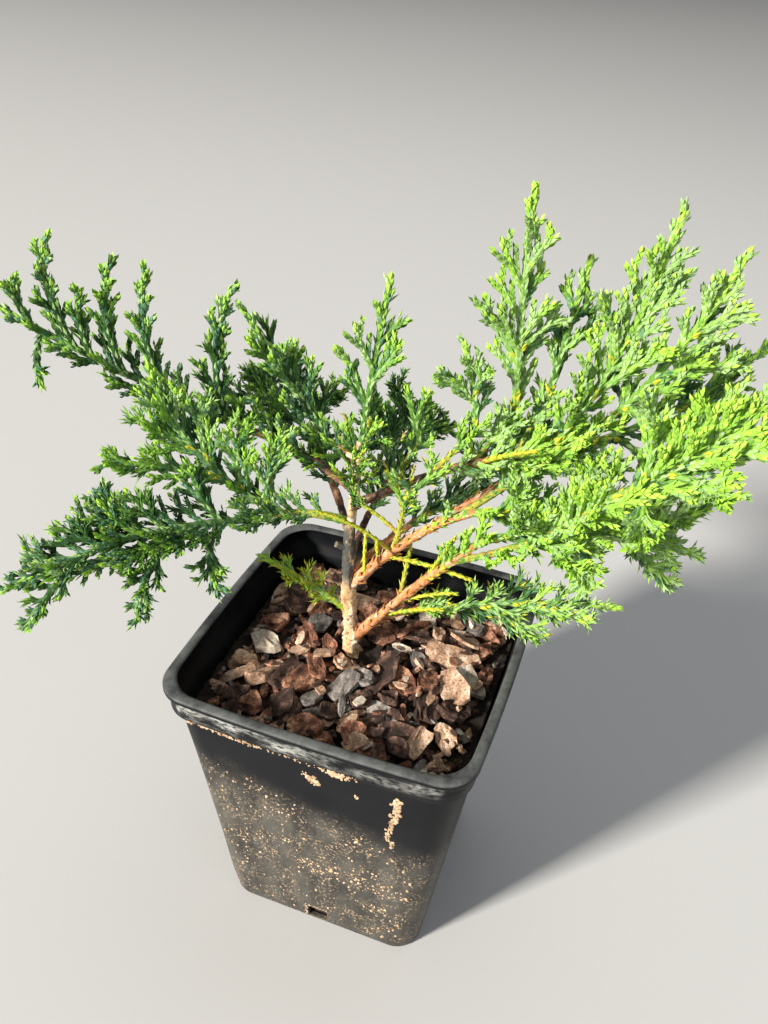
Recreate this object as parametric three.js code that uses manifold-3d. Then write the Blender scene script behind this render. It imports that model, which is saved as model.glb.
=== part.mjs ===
// Young spreading conifer in a small square nursery pot.
// Millimetres, +Z up. The origin is the centre of the flat underside of the pot,
// the sides of the pot lie along X and Y, and -Y is the side that shows its drain hole in front.

import * as THREE from 'three';
import Module from 'manifold-3d';

const wasm = await Module();
wasm.setup();

// Driving sizes of the pot
const POT = {
  height: 100,
  footHalf: 32.5,
  wallTopHalf: 42.2,
  collarHalf: 43.8,
  lipHalf: 45,
  lipInnerHalf: 42.1,
  collarInnerHalf: 42.5,
  wall: 1.3,
  floor: 1.6,
  footCorner: 8,
  rimCorner: 10,
  collarBottom: 91.2,
  collarStep: 0.5,
  lipBottom: 97.9,
  footBevel: 0.9,
  lipBevel: 0.4,
  bulge: 0.8,
  cornerSteps: 4,
  sideSteps: 2,
};
const DRAIN = { width: 4.4, height: 3.8, bottom: 2.2, floorRadius: 4, floorPlace: 16, depth: 8 };

// What fills the pot
const GAP = 0.3;
// A piece cut clear of a limb keeps a little more than the gap, so flat facets stay clear too
const LIMB_CUT = GAP + 0.08;
const SOIL_TOP = 84;
const MULCH_TOP = 86;
const CHIP = { spacing: 15.6, long: 17, wide: 10.5, thick: 2.6, rise: 2.2, tilt: 0.26, seed: 5 };

// Trunk: foot on the soil, tip inside the crown, with a flare at the foot
const TRUNK = {
  foot: [-5, 4.5, 84],
  tip: [-6.5, 9, 158],
  bow: [-1.5, -2.5, 0],
  rootRadius: 2.75,
  tipRadius: 1.3,
  flare: 1.5,
  flareHeight: 5,
};

// Pruning stubs on the trunk: height share, heading in degrees, length, radius
const STUBS = [
  { at: 0.56, heading: 215, long: 2.8, radius: 1.2 },
  { at: 0.72, heading: 285, long: 3.2, radius: 1.1 },
  { at: 0.93, heading: 190, long: 2.6, radius: 0.9 },
];

// Boughs: name, what carries it and how far along, tip, how far its middle stands off the
// straight line, root radius, tip radius
const BOUGHS = [
  ['right_bough', 'trunk', 0.37, [27, 8, 145], [0, 0, 4.5], 2.0, 1.15],
  ['low_right_bough', 'trunk', 0.1, [31, 0, 142], [0, 0, 1.5], 1.9, 1.1],
  ['upper_right_bough', 'trunk', 0.74, [41, 20, 160], [0, -1, 4], 1.5, 0.95],
  ['left_bough', 'trunk', 0.67, [-27, 0, 134.5], [0, 0, 1.5], 1.6, 1.0],
  ['upper_left_bough', 'trunk', 0.81, [-40, 10, 153], [0, 1, 1], 1.5, 1.0],
  ['top_left_bough', 'trunk', 0.91, [-19, 15, 153], [0, 0, 0.5], 1.15, 0.9],
  ['left_low_bough', 'left_bough', 0.72, [-31, -9, 137], [0, 0, 0.5], 0.95, 0.8],
  ['near_right_bough', 'low_right_bough', 0.8, [60, -6, 167], [1, 0, -3], 1.15, 0.9],
  ['far_right_bough', 'right_bough', 0.84, [53, 23, 169], [0, 0, 0], 1.1, 0.9],
  ['right_spire_bough', 'upper_right_bough', 0.62, [31, 23, 168], [0, 0, 0], 0.9, 0.8],
  ['inner_spire_bough', 'upper_right_bough', 0.84, [38, 29, 171], [0, 0, 0], 0.85, 0.75],
  ['centre_right_bough', 'upper_right_bough', 0.2, [8, 15, 158], [0, 0, 0.5], 0.95, 0.8],
  ['inner_right_bough', 'upper_right_bough', 0.42, [22, 18, 164], [0, 0, 0], 0.9, 0.8],
  ['inner_shoot', 'right_bough', 0.36, [8, 3, 147], [1, 0, 1], 1.0, 0.8],
  ['back_right_bough', 'right_bough', 0.6, [50, 38, 156], [0, 2, 1], 1.15, 0.9],
  ['rim_bough', 'low_right_bough', 0.14, [20, 6, 111], [0, 1, 1], 0.95, 0.8],
  ['upright_shoot', 'low_right_bough', 0.4, [10, 7, 130], [0, 1, 0], 0.8, 0.6],
  ['back_left_bough', 'trunk', 0.6, [-28, 30, 136], [0, 1, 2], 1.35, 1.0],
  ['back_bough', 'trunk', 0.5, [-7, 36, 131], [0, 0, 2], 1.3, 1.0],
  ['back_right_low_bough', 'trunk', 0.44, [15, 34, 130], [0, 1, 2], 1.3, 1.0],
];

// Foliage masses: name, what carries it, tip of its stem, how far the middle of the stem
// stands off the straight line, reach of its fans, and its side leaders, each with its
// place along the stem, its tip and the reach of its fans
const MASSES = [
  ['centre_spire', 'trunk', [-5, 22, 200], [0, -1, 0], 15,
    [[0.2, [-15, 12, 182], 8], [0.34, [0, 15, 185], 8]]],
  ['top_left_spire', 'top_left_bough', [-48, 20, 186], [2, 0, -2], 15,
    [[0.3, [-43, 22, 172], 9], [0.42, [-32, 15, 178], 8]]],
  ['upper_left_plume', 'upper_left_bough', [-117, 1, 181], [0, 2, -3], 13,
    [[0.1, [-49, 19, 190], 10], [0.34, [-72, 14, 193], 10], [0.5, [-81, 10, 194], 10],
      [0.62, [-89, 7, 187], 8], [0.68, [-97, 5, 199], 10], [0.84, [-106, 1, 189], 8],
      [0.8, [-98, -4, 160], 7]]],
  ['left_fan_upper', 'left_bough', [-64, -2, 174], [-4, -3, -3], 16,
    [[0.3, [-69, -18, 150], 12], [0.5, [-65, -10, 161], 9], [0.42, [-49, 1, 165], 11],
      [0.2, [-38, 3, 160], 11], [0.06, [-26, 5, 158], 11]]],
  ['left_fan_low', 'left_low_bough', [-81, -51, 127], [0, 0, 5], 18,
    [[0.14, [-35, -22, 121], 10], [0.3, [-51, -37, 117], 11], [0.4, [-69, -22, 143], 11],
      [0.12, [-47, -10, 150], 11], [0.66, [-74, -52, 118], 8]]],
  ['right_spire', 'right_spire_bough', [25, 40, 222], [0, -3, 0], 15,
    [[0.24, [17, 28, 194], 9], [0.3, [38, 33, 192], 9]]],
  ['right_inner_spire', 'inner_spire_bough', [41, 45, 205], [0, -1, 0], 12,
    [[0.24, [34, 42, 190], 8], [0.34, [47, 42, 191], 8]]],
  ['right_tall_plume', 'upper_right_bough', [61, 43, 221], [3, -2, -2], 15,
    [[0.14, [46, 13, 178], 11], [0.28, [64, 24, 192], 11], [0.5, [65, 38, 207], 9],
      [0.42, [47, 30, 200], 9]]],
  ['far_right_plume', 'far_right_bough', [78, 44, 213], [2, -2, -1], 14,
    [[0.14, [67, 14, 176], 11], [0.3, [82, 33, 188], 10], [0.5, [74, 45, 204], 8],
      [0.56, [82, 38, 199], 8]]],
  ['near_right_plume', 'near_right_bough', [88, 4, 197], [3, 0, -2], 14,
    [[0.16, [63, -1, 190], 11], [0.3, [84, -12, 176], 11], [0.34, [74, 3, 190], 9],
      [0.14, [68, -19, 164], 11], [0.5, [95, -4, 185], 9]]],
  ['front_right_spray', 'low_right_bough', [68, 1, 155], [0, 0, 2], 14,
    [[0.16, [40, -9, 156], 11], [0.34, [56, -13, 149], 11], [0.5, [57, 6, 141], 10]]],
  ['low_right_fan', 'right_bough', [86, 27, 135], [0, -2, 5], 14,
    [[0.12, [37, 8, 155], 10], [0.36, [58, 10, 128], 11], [0.58, [80, 22, 126], 9],
      [0.5, [84, 37, 146], 12], [0.28, [54, 17, 160], 11]]],
  ['rim_spray', 'rim_bough', [69, 18, 118], [0, 0, 2], 12,
    [[0.22, [49, 6, 110], 11], [0.4, [62, 8, 120], 9]]],
  ['back_right_plume', 'back_right_bough', [91, 66, 183], [2, 0, -3], 16,
    [[0.16, [52, 62, 172], 12], [0.34, [74, 64, 184], 12], [0.44, [93, 52, 170], 12],
      [0.12, [68, 38, 152], 12]]],
  ['inner_right_spray', 'inner_right_bough', [15, 24, 185], [1, 0, 0], 10,
    [[0.3, [10, 17, 177], 7], [0.4, [24, 18, 181], 7]]],
  ['centre_right_sprig', 'centre_right_bough', [3, 16, 173], [0, 0, 0], 8,
    [[0.3, [10, 14, 174], 6]]],
  ['inner_sprig', 'inner_shoot', [19, 3, 159], [0, 0, 1], 9,
    [[0.2, [5, 0, 155], 6]]],
  ['back_left_fan', 'back_left_bough', [-66, 60, 146], [0, 2, 3], 17,
    [[0.16, [-47, 28, 146], 12], [0.3, [-34, 60, 144], 13], [0.5, [-72, 42, 139], 12],
      [0.56, [-50, 72, 140], 12]]],
  ['back_fan', 'back_bough', [-16, 82, 134], [0, 0, 4], 17,
    [[0.2, [-24, 54, 130], 12], [0.3, [2, 64, 138], 12], [0.5, [-30, 76, 126], 12],
      [0.6, [0, 82, 126], 11]]],
  ['back_right_fan', 'back_right_low_bough', [47, 78, 140], [0, 0, 4], 17,
    [[0.16, [14, 55, 136], 12], [0.3, [46, 52, 138], 12], [0.5, [28, 78, 132], 12],
      [0.56, [60, 68, 132], 12]]],
  ['low_left_sprig', 'trunk', [-31, -5, 122], [0, 0, 1], 6, []],
];

// Where the stem of a mass that sits on the side of the trunk leaves it
const TRUNK_SIDE = { low_left_sprig: 0.25 };

// Growth rule of the foliage
const GROWTH = {
  seed: 3,
  fanStep: 4.6,
  fanSpread: 10,
  fanOff: 60,
  fanStray: 55,
  fanRise: 0.35,
  openRoot: 50,
  openTip: 30,
  toothStep: 5.1,
  toothLeast: 2.2,
  toothOpen: 38,
  toothSpread: 8,
  toothOff: 40,
  toothRise: 0.1,
  tipSpray: 20,
  stemRadius: 0.95,
  bladeThick: 0.8,
  bladeWide: 0.9,
  bare: 0.12,
  face: [0.22, -0.66, 0.72],
  clearMass: 2.2,
  clearLimb: 1.4,
  apart: 3.6,
};
// The solids take every second fan of the rule
const FAN_SKIP = 2;

const COLOURS = {
  pot: [0x1b1c1e, 0.5],
  soil: [0x2a1d15, 1],
  mulch: [0x6a4634, 0.95],
  trunk: [0xb59a78, 0.9],
  bough: [0xb06a3c, 0.85],
  foliage: [0x5f9a3c, 0.7],
};

const UP = new THREE.Vector3(0, 0, 1);
const FACE = new THREE.Vector3(...GROWTH.face).normalize();
const DEGREE = Math.PI / 180;

const vec = (p) => new THREE.Vector3(p[0], p[1], p[2]);

// A number from 0 to 1 that depends only on its four keys
function chance(a, b, c, d) {
  const x = Math.sin(a * 12.9898 + b * 78.233 + c * 37.719 + d * 11.137 + GROWTH.seed) * 43758.5453;
  return x - Math.floor(x);
}

function toSolid(geometry) {
  const vertProperties = new Float32Array(geometry.getAttribute('position').array);
  const triVerts = new Uint32Array(geometry.index.array);
  return new wasm.Manifold(new wasm.Mesh({ numProp: 3, vertProperties, triVerts }));
}

function toGeometry(solid) {
  const mesh = solid.getMesh();
  return meshGeometry(Array.from(mesh.vertProperties), Array.from(mesh.triVerts));
}

function meshGeometry(positions, index) {
  const geometry = new THREE.BufferGeometry();
  geometry.setAttribute('position', new THREE.Float32BufferAttribute(positions, 3));
  geometry.setIndex(index);
  return geometry;
}

function join(solids) {
  let rest = solids;
  while (rest.length > 1) {
    const next = [];
    for (let i = 0; i < rest.length; i += 2) {
      next.push(i + 1 < rest.length ? rest[i].add(rest[i + 1]) : rest[i]);
    }
    rest = next;
  }
  return rest[0];
}

// What is left of a cut piece once its loose scraps are dropped
const largest = (solid) => solid.decompose().reduce((a, b) => (a.volume() > b.volume() ? a : b));

// Rings of equal length joined into one closed skin, with a flat cap at each end.
// The rings turn counter-clockwise when seen from the last ring.
function skin(rings) {
  const sides = rings[0].length;
  const positions = rings.flat().flatMap((p) => [p.x, p.y, p.z]);
  const index = [];
  for (let r = 0; r < rings.length - 1; r += 1) {
    const low = r * sides;
    const high = low + sides;
    for (let i = 0; i < sides; i += 1) {
      const j = (i + 1) % sides;
      index.push(low + i, low + j, high + j, low + i, high + j, high + i);
    }
  }
  const top = (rings.length - 1) * sides;
  for (let i = 1; i < sides - 1; i += 1) {
    index.push(0, i + 1, i, top, top + i, top + i + 1);
  }
  return meshGeometry(positions, index);
}

// A tube along points with a radius at each. A last radius of zero ends it in a point.
function tube(points, radii, sides) {
  const pointed = radii[radii.length - 1] === 0;
  const count = pointed ? points.length - 1 : points.length;
  const positions = [];
  const index = [];
  let side = null;
  for (let i = 0; i < count; i += 1) {
    const before = points[Math.max(i - 1, 0)];
    const after = points[Math.min(i + 1, points.length - 1)];
    const along = after.clone().sub(before).normalize();
    if (side === null) side = FACE.clone();
    side.addScaledVector(along, -side.dot(along)).normalize();
    const other = along.clone().cross(side);
    for (let k = 0; k < sides; k += 1) {
      const angle = (2 * Math.PI * k) / sides;
      const p = points[i].clone();
      p.addScaledVector(side, Math.cos(angle) * radii[i]);
      p.addScaledVector(other, Math.sin(angle) * radii[i]);
      positions.push(p.x, p.y, p.z);
    }
  }
  for (let i = 0; i < count - 1; i += 1) {
    for (let k = 0; k < sides; k += 1) {
      const a = i * sides + k;
      const b = i * sides + ((k + 1) % sides);
      index.push(a, b, b + sides, a, b + sides, a + sides);
    }
  }
  for (let k = 1; k < sides - 1; k += 1) index.push(0, k + 1, k);
  const top = (count - 1) * sides;
  if (pointed) {
    const tip = points[points.length - 1];
    positions.push(tip.x, tip.y, tip.z);
    for (let k = 0; k < sides; k += 1) index.push(top + k, top + ((k + 1) % sides), count * sides);
  } else {
    for (let k = 1; k < sides - 1; k += 1) index.push(top, top + k, top + k + 1);
  }
  return meshGeometry(positions, index);
}

// A spray of needles as a toothed blade. Each node of its spine has a point above and below
// it, a notch to each side and, past it, a tooth on each side or none; it ends in one point.
function bladeGeometry(nodes, tip) {
  const positions = [];
  const index = [];
  const add = (p) => positions.push(p.x, p.y, p.z) / 3 - 1;
  const rows = nodes.map((node) => ({
    ridge: [node.above, node.below].map(add),
    sides: node.sides.map(({ notch, tooth }) => [add(notch), tooth ? add(tooth) : null]),
  }));
  const end = add(tip);
  rows.forEach((row, i) => {
    const next = rows[i + 1];
    row.ridge.forEach((ridge, face) => {
      row.sides.forEach(([notch, tooth], side) => {
        const put = (a, b, c) => (face === side ? index.push(a, b, c) : index.push(a, c, b));
        const ahead = next ? next.ridge[face] : end;
        const outer = tooth ?? (next ? next.sides[side][0] : notch);
        if (outer !== notch) put(ridge, outer, notch);
        put(ridge, ahead, outer);
        if (tooth !== null && next) put(ahead, next.sides[side][0], tooth);
      });
    });
  });
  const { ridge: [above, below], sides: [[left], [right]] } = rows[0];
  index.push(above, left, below, above, below, right);
  return meshGeometry(positions, index);
}

// A curve from root to tip whose middle stands off the straight line by the bow
function bowed(root, tip, bow) {
  const control = root.clone().add(tip).multiplyScalar(0.5).addScaledVector(bow, 2);
  return new THREE.QuadraticBezierCurve3(root, control, tip);
}

// Pot: one ring of a square with round corners and slightly bulging sides
function potRing(half, corner, z) {
  const { cornerSteps, sideSteps } = POT;
  const swell = POT.bulge * (z / POT.height) ** 2;
  const ring = [];
  for (let q = 0; q < 4; q += 1) {
    const turn = (Math.PI / 2) * q;
    const place = (x, y) => ring.push(new THREE.Vector3(
      x * Math.cos(turn) - y * Math.sin(turn),
      x * Math.sin(turn) + y * Math.cos(turn),
      z,
    ));
    const straight = half - corner;
    for (let i = 1; i < sideSteps; i += 1) {
      const y = straight * ((2 * i) / sideSteps - 1);
      place(half + swell * (1 - (y / straight) ** 2), y);
    }
    for (let i = 0; i <= cornerSteps; i += 1) {
      const angle = (Math.PI / 2) * (i / cornerSteps);
      place(straight + corner * Math.cos(angle), straight + corner * Math.sin(angle));
    }
  }
  return ring;
}

const wallSlope = (POT.wallTopHalf - POT.footHalf) / (POT.collarBottom - POT.footBevel);
const outerHalf = (z) => POT.footHalf + wallSlope * (z - POT.footBevel);
const innerHalf = (z) => outerHalf(z) - POT.wall;
const cornerAt = (z) => THREE.MathUtils.lerp(POT.footCorner, POT.rimCorner, z / POT.height);

function block(width, depth, height, x, y, z) {
  const geometry = new THREE.BoxGeometry(width, depth, height);
  geometry.translate(x, y, z);
  return weld(geometry);
}

function weld(geometry) {
  const source = geometry.getAttribute('position');
  const found = new Map();
  const positions = [];
  const index = [];
  for (let i = 0; i < geometry.index.count; i += 1) {
    const v = geometry.index.getX(i);
    const p = [source.getX(v), source.getY(v), source.getZ(v)];
    const key = p.map((n) => n.toFixed(5)).join();
    if (!found.has(key)) {
      found.set(key, positions.length / 3);
      positions.push(...p);
    }
    index.push(found.get(key));
  }
  return meshGeometry(positions, index);
}

function makePot() {
  const outer = [
    [0, POT.footHalf - POT.footBevel],
    [POT.footBevel, POT.footHalf],
    [POT.collarBottom, POT.wallTopHalf],
    [POT.collarBottom + POT.collarStep, POT.collarHalf],
    [POT.lipBottom, POT.collarHalf],
    [POT.lipBottom + POT.lipBevel / 2, POT.lipHalf],
    [POT.height - POT.lipBevel, POT.lipHalf],
    [POT.height, POT.lipHalf - POT.lipBevel],
  ].map(([z, half]) => potRing(half, cornerAt(z), z));
  const inner = [
    [POT.height, POT.lipInnerHalf],
    [POT.height - POT.wall, POT.collarInnerHalf],
    [POT.collarBottom + POT.wall, POT.collarInnerHalf],
    [POT.collarBottom, innerHalf(POT.collarBottom)],
    [POT.floor, innerHalf(POT.floor)],
  ].map(([z, half]) => potRing(half, cornerAt(z) - POT.wall, z));
  const shell = toSolid(skin([...outer, ...inner]));
  const reach = POT.footHalf;
  const sideZ = DRAIN.bottom + DRAIN.height / 2;
  const tools = [
    block(DRAIN.width, DRAIN.depth, DRAIN.height, 0, -reach, sideZ),
    block(DRAIN.width, DRAIN.depth, DRAIN.height, 0, reach, sideZ),
    block(DRAIN.depth, DRAIN.width, DRAIN.height, reach, 0, sideZ),
    block(DRAIN.depth, DRAIN.width, DRAIN.height, -reach, 0, sideZ),
  ];
  for (const [x, y] of [[1, 1], [-1, 1], [-1, -1], [1, -1]]) {
    const hole = new THREE.CylinderGeometry(DRAIN.floorRadius, DRAIN.floorRadius, DRAIN.depth, 10);
    hole.rotateX(Math.PI / 2);
    hole.translate(x * DRAIN.floorPlace, y * DRAIN.floorPlace, 0);
    tools.push(weld(hole));
  }
  return tools.reduce((pot, tool) => pot.subtract(toSolid(tool)), shell);
}

// The room inside the pot's wall between two heights, clear of the wall
const insideWall = (low, high) => toSolid(skin([low, high].map((z) => (
  potRing(innerHalf(z) - LIMB_CUT, cornerAt(z) - POT.wall - GAP, z)))));

const makeSoil = () => insideWall(POT.floor + GAP, SOIL_TOP);

// A flake of bark: a box with uneven corners
function chipGeometry(key, centre, heading) {
  const r = (n) => chance(key, CHIP.seed, n, 1);
  const long = CHIP.long * (0.55 + 0.75 * r(1));
  const wide = CHIP.wide * (0.6 + 0.7 * r(2));
  const thick = CHIP.thick * (0.7 + 0.7 * r(3));
  const turn = new THREE.Matrix4().makeRotationFromEuler(new THREE.Euler(
    CHIP.tilt * (2 * r(4) - 1),
    CHIP.tilt * (2 * r(5) - 1),
    heading,
    'ZYX',
  ));
  const corners = [];
  for (const z of [-1, 1]) {
    for (const [x, y] of [[-1, -1], [1, -1], [1, 1], [-1, 1]]) {
      const n = 10 + corners.length * 3;
      corners.push(new THREE.Vector3(
        (x * long * (0.72 + 0.28 * r(n))) / 2,
        (y * wide * (0.6 + 0.4 * r(n + 1))) / 2,
        (z * thick * (0.7 + 0.3 * r(n + 2))) / 2,
      ).applyMatrix4(turn).add(centre));
    }
  }
  return skin([corners.slice(0, 4), corners.slice(4)]);
}

function makeMulch(limbCuts) {
  const base = SOIL_TOP + GAP;
  const solids = [insideWall(base, MULCH_TOP)];
  const limit = innerHalf(MULCH_TOP) - 1;
  const cells = Math.round((2 * limit) / CHIP.spacing);
  const step = (2 * limit) / cells;
  for (let i = 0; i < cells; i += 1) {
    for (let j = 0; j < cells; j += 1) {
      const key = i * cells + j;
      const r = (n) => chance(key, CHIP.seed, n, 0);
      const inset = limit - CHIP.long / 2;
      const x = THREE.MathUtils.clamp(-limit + step * (i + 0.2 + 0.6 * r(1)), -inset, inset);
      const y = THREE.MathUtils.clamp(-limit + step * (j + 0.2 + 0.6 * r(2)), -inset, inset);
      const centre = new THREE.Vector3(x, y, MULCH_TOP + CHIP.rise * (0.2 + 0.8 * r(3)));
      solids.push(toSolid(chipGeometry(key, centre, Math.PI * r(4))));
    }
  }
  let mulch = join(solids).intersect(insideWall(base, POT.collarBottom));
  for (const cut of limbCuts) mulch = mulch.subtract(cut);
  return largest(mulch);
}

// Limbs: the trunk and the boughs, each as its curve and its radius along it
const limbs = new Map();
const trunkRoot = vec(TRUNK.foot);
const trunkRadius = (s) => {
  const height = s * (TRUNK.tip[2] - TRUNK.foot[2]);
  const flare = TRUNK.flare * Math.exp(-height / (TRUNK.flareHeight / 2));
  return THREE.MathUtils.lerp(TRUNK.rootRadius, TRUNK.tipRadius, s) + flare;
};
limbs.set('trunk', {
  curve: bowed(trunkRoot, vec(TRUNK.tip), vec(TRUNK.bow)),
  radius: trunkRadius,
  steps: 10,
  sides: 8,
});
for (const [name, parent, share, tip, bow, rootRadius, tipRadius] of BOUGHS) {
  const root = limbs.get(parent).curve.getPoint(share);
  const curve = bowed(root, vec(tip), vec(bow));
  limbs.set(name, {
    parent,
    curve,
    radius: (s) => THREE.MathUtils.lerp(rootRadius, tipRadius, s ** 0.8),
    steps: Math.max(2, Math.round(curve.getLength() / 10)),
    sides: 5,
  });
}

// Rings along the trunk stand closer at its flare
const stepShare = (limb, i) => (limb.parent ? i / limb.steps : (i / limb.steps) ** 1.5);

function limbSolid(limb, extra) {
  const points = [];
  const radii = [];
  for (let i = 0; i <= limb.steps; i += 1) {
    const s = stepShare(limb, i);
    points.push(limb.curve.getPoint(s));
    radii.push(limb.radius(s) + extra);
  }
  if (extra > 0) {
    const end = limb.curve.getTangent(1);
    points.push(points[points.length - 1].clone().addScaledVector(end, extra));
    radii.push(radii[radii.length - 1]);
  }
  return toSolid(tube(points, radii, limb.sides));
}

for (const limb of limbs.values()) limb.cut = limbSolid(limb, LIMB_CUT);

function makeTrunk() {
  const limb = limbs.get('trunk');
  const solids = [limbSolid(limb, 0)];
  for (const stub of STUBS) {
    const root = limb.curve.getPoint(stub.at);
    const heading = stub.heading * DEGREE;
    const out = new THREE.Vector3(Math.cos(heading), Math.sin(heading), 0.45).normalize();
    const reach = limb.radius(stub.at) + stub.long;
    const end = root.clone().addScaledVector(out, reach);
    solids.push(toSolid(tube([root, end], [stub.radius, stub.radius * 0.8], 5)));
  }
  const depth = 20;
  const ground = block(40, 40, depth, trunkRoot.x, trunkRoot.y, SOIL_TOP + GAP - depth / 2);
  return join(solids).subtract(toSolid(ground));
}

// Foliage: the axes of each mass are its stem and its side leaders
const masses = MASSES.map(([name, carrier, tip, bow, reach, leaders]) => {
  const limb = limbs.get(carrier);
  const foot = limb.curve.getPoint(TRUNK_SIDE[name] ?? 1);
  const stem = bowed(foot, vec(tip), vec(bow));
  const axes = [{ curve: stem, reach }];
  for (const [share, end, leaderReach] of leaders) {
    const root = stem.getPoint(share);
    const length = root.distanceTo(vec(end));
    const start = stem.getTangent(share).multiplyScalar(length * 0.12);
    start.z -= length * 0.03;
    axes.push({ curve: bowed(root, vec(end), start), reach: leaderReach });
  }
  for (const axis of axes) {
    axis.length = axis.curve.getLength();
    axis.tipShare = Math.min(0.5, GROWTH.tipSpray / axis.length);
    axis.samples = axis.curve.getPoints(Math.max(4, Math.round(axis.length / 5)));
  }
  return { name, carrier, axes };
});

function distanceToPath(point, samples) {
  let best = Infinity;
  const line = new THREE.Line3();
  const near = new THREE.Vector3();
  for (let i = 1; i < samples.length; i += 1) {
    line.set(samples[i - 1], samples[i]);
    line.closestPointToPoint(point, true, near);
    best = Math.min(best, near.distanceTo(point));
  }
  return best;
}

const distanceToMass = (point, mass) => (
  Math.min(...mass.axes.map((axis) => distanceToPath(point, axis.samples))));

for (const limb of limbs.values()) limb.samples = limb.curve.getPoints(limb.steps);

// A twig keeps to the space nearer to its own axes than to any other mass, clear of limbs,
// of the pot and of the bark
function isClear(points, mass) {
  for (const point of points) {
    const own = distanceToMass(point, mass);
    for (const other of masses) {
      if (other !== mass && distanceToMass(point, other) - own < GROWTH.clearMass) return false;
    }
    for (const limb of limbs.values()) {
      const room = distanceToPath(point, limb.samples) - limb.radius(0.3);
      if (room < GROWTH.clearLimb) return false;
    }
    const side = Math.max(Math.abs(point.x), Math.abs(point.y));
    if (side < POT.lipHalf + 3 && point.z < POT.height + 3) return false;
  }
  return true;
}

const profile = (s) => (0.55 + 0.45 * Math.sin(Math.PI * s)) * (1 - 0.55 * s * s);

// One side shoot off an axis: out at an open angle, then bending up
function shoot(root, along, face, side, open, off, rise, length) {
  const normal = face.clone().addScaledVector(along, -face.dot(along)).normalize();
  const across = normal.clone().cross(along);
  const lateral = across.multiplyScalar(side * Math.cos(off)).addScaledVector(normal, Math.sin(off));
  const out = along.clone().multiplyScalar(Math.cos(open)).addScaledVector(lateral, Math.sin(open));
  const raised = out.clone().addScaledVector(UP, rise).normalize();
  const reach = length * (raised.z < -0.1 ? 0.6 : 1);
  const tip = root.clone().addScaledVector(raised, reach);
  const control = root.clone().addScaledVector(out, reach * 0.5);
  return new THREE.QuadraticBezierCurve3(root, control, tip);
}

// A spray along a curve from a share of it to its tip, with its teeth inside the mass's space
function sprayOf(mass, { curve, from, face, reach, key }, m) {
  const length = curve.getLength() * (1 - from);
  const teeth = THREE.MathUtils.clamp(Math.round(length / GROWTH.toothStep), 2, 6);
  const nodes = [];
  for (let i = 0; i <= teeth; i += 1) {
    const u = i === 0 ? 0 : GROWTH.bare + ((1 - GROWTH.bare) * (i - 1)) / teeth;
    const place = from + (1 - from) * u;
    const centre = curve.getPoint(place);
    const along = curve.getTangent(place);
    const normal = face.clone().addScaledVector(along, -face.dot(along)).normalize();
    const across = normal.clone().cross(along);
    const thick = GROWTH.bladeThick * (1 - 0.6 * u);
    const wide = GROWTH.bladeWide * (1 - 0.5 * u);
    const sides = [1, -1].map((side) => {
      const notch = centre.clone().addScaledVector(across, side * wide);
      if (i > 0) notch.addScaledVector(along, 0.9 * wide);
      const r = (n) => chance(m + 50, key, i, n + side);
      const long = Math.max(GROWTH.toothLeast, reach * (1 - 0.78 * u) * (0.85 + 0.3 * r(2)));
      const open = (GROWTH.toothOpen + GROWTH.toothSpread * (r(5) - 0.5)) * DEGREE;
      const off = GROWTH.toothOff * (r(8) - 0.5) * DEGREE;
      const cord = shoot(centre, along, face, side, open, off, GROWTH.toothRise, long);
      const grows = i > 0 && isClear([cord.v2], mass);
      return { notch, tooth: grows ? cord.v2 : null };
    });
    nodes.push({
      above: centre.clone().addScaledVector(normal, thick),
      below: centre.clone().addScaledVector(normal, -thick),
      sides,
    });
  }
  return bladeGeometry(nodes, curve.getPoint(1));
}

// The fans of a mass leave its stem on both sides in turn
function fansOf(mass, m) {
  const [stem, ...leaders] = mass.axes;
  const crossings = leaders.map((axis) => axis.samples);
  const fans = [];
  const count = Math.floor(stem.length / GROWTH.fanStep);
  for (let k = 1; k < count; k += FAN_SKIP) {
    const r = (n) => chance(m, 0, k, n);
    const s = (k + 0.4 * (r(1) - 0.5)) / count;
    if (s > 1 - stem.tipShare * 0.7) continue;
    const side = Math.floor(k / FAN_SKIP) % 2 ? 1 : -1;
    const even = THREE.MathUtils.lerp(GROWTH.openRoot, GROWTH.openTip, s);
    const open = (even + GROWTH.fanSpread * (r(2) - 0.5)) * DEGREE;
    const stray = k % 3 === 0 ? GROWTH.fanStray * side : 0;
    const off = (GROWTH.fanOff * (r(3) - 0.5) + stray) * DEGREE;
    const length = stem.reach * profile(s) * (0.85 + 0.3 * r(4));
    const root = stem.curve.getPoint(s);
    const along = stem.curve.getTangent(s);
    for (const size of [1, 0.75, 0.5]) {
      const curve = shoot(root, along, FACE, side, open, off, GROWTH.fanRise, length * size);
      const far = curve.getPoints(4).slice(1);
      const apart = far.slice(1).every((p) => crossings.every((path) => (
        distanceToPath(p, path) > GROWTH.apart)));
      if (apart && isClear(far, mass)) {
        crossings.push(curve.getPoints(4));
        const face = along.clone().cross(curve.getTangent(0.5)).normalize();
        face.multiplyScalar(Math.sign(face.dot(FACE))).add(FACE).normalize();
        fans.push({ curve, from: 0, face, reach: length * size * 0.5, key: 100 + k });
        break;
      }
    }
  }
  return fans;
}

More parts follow.
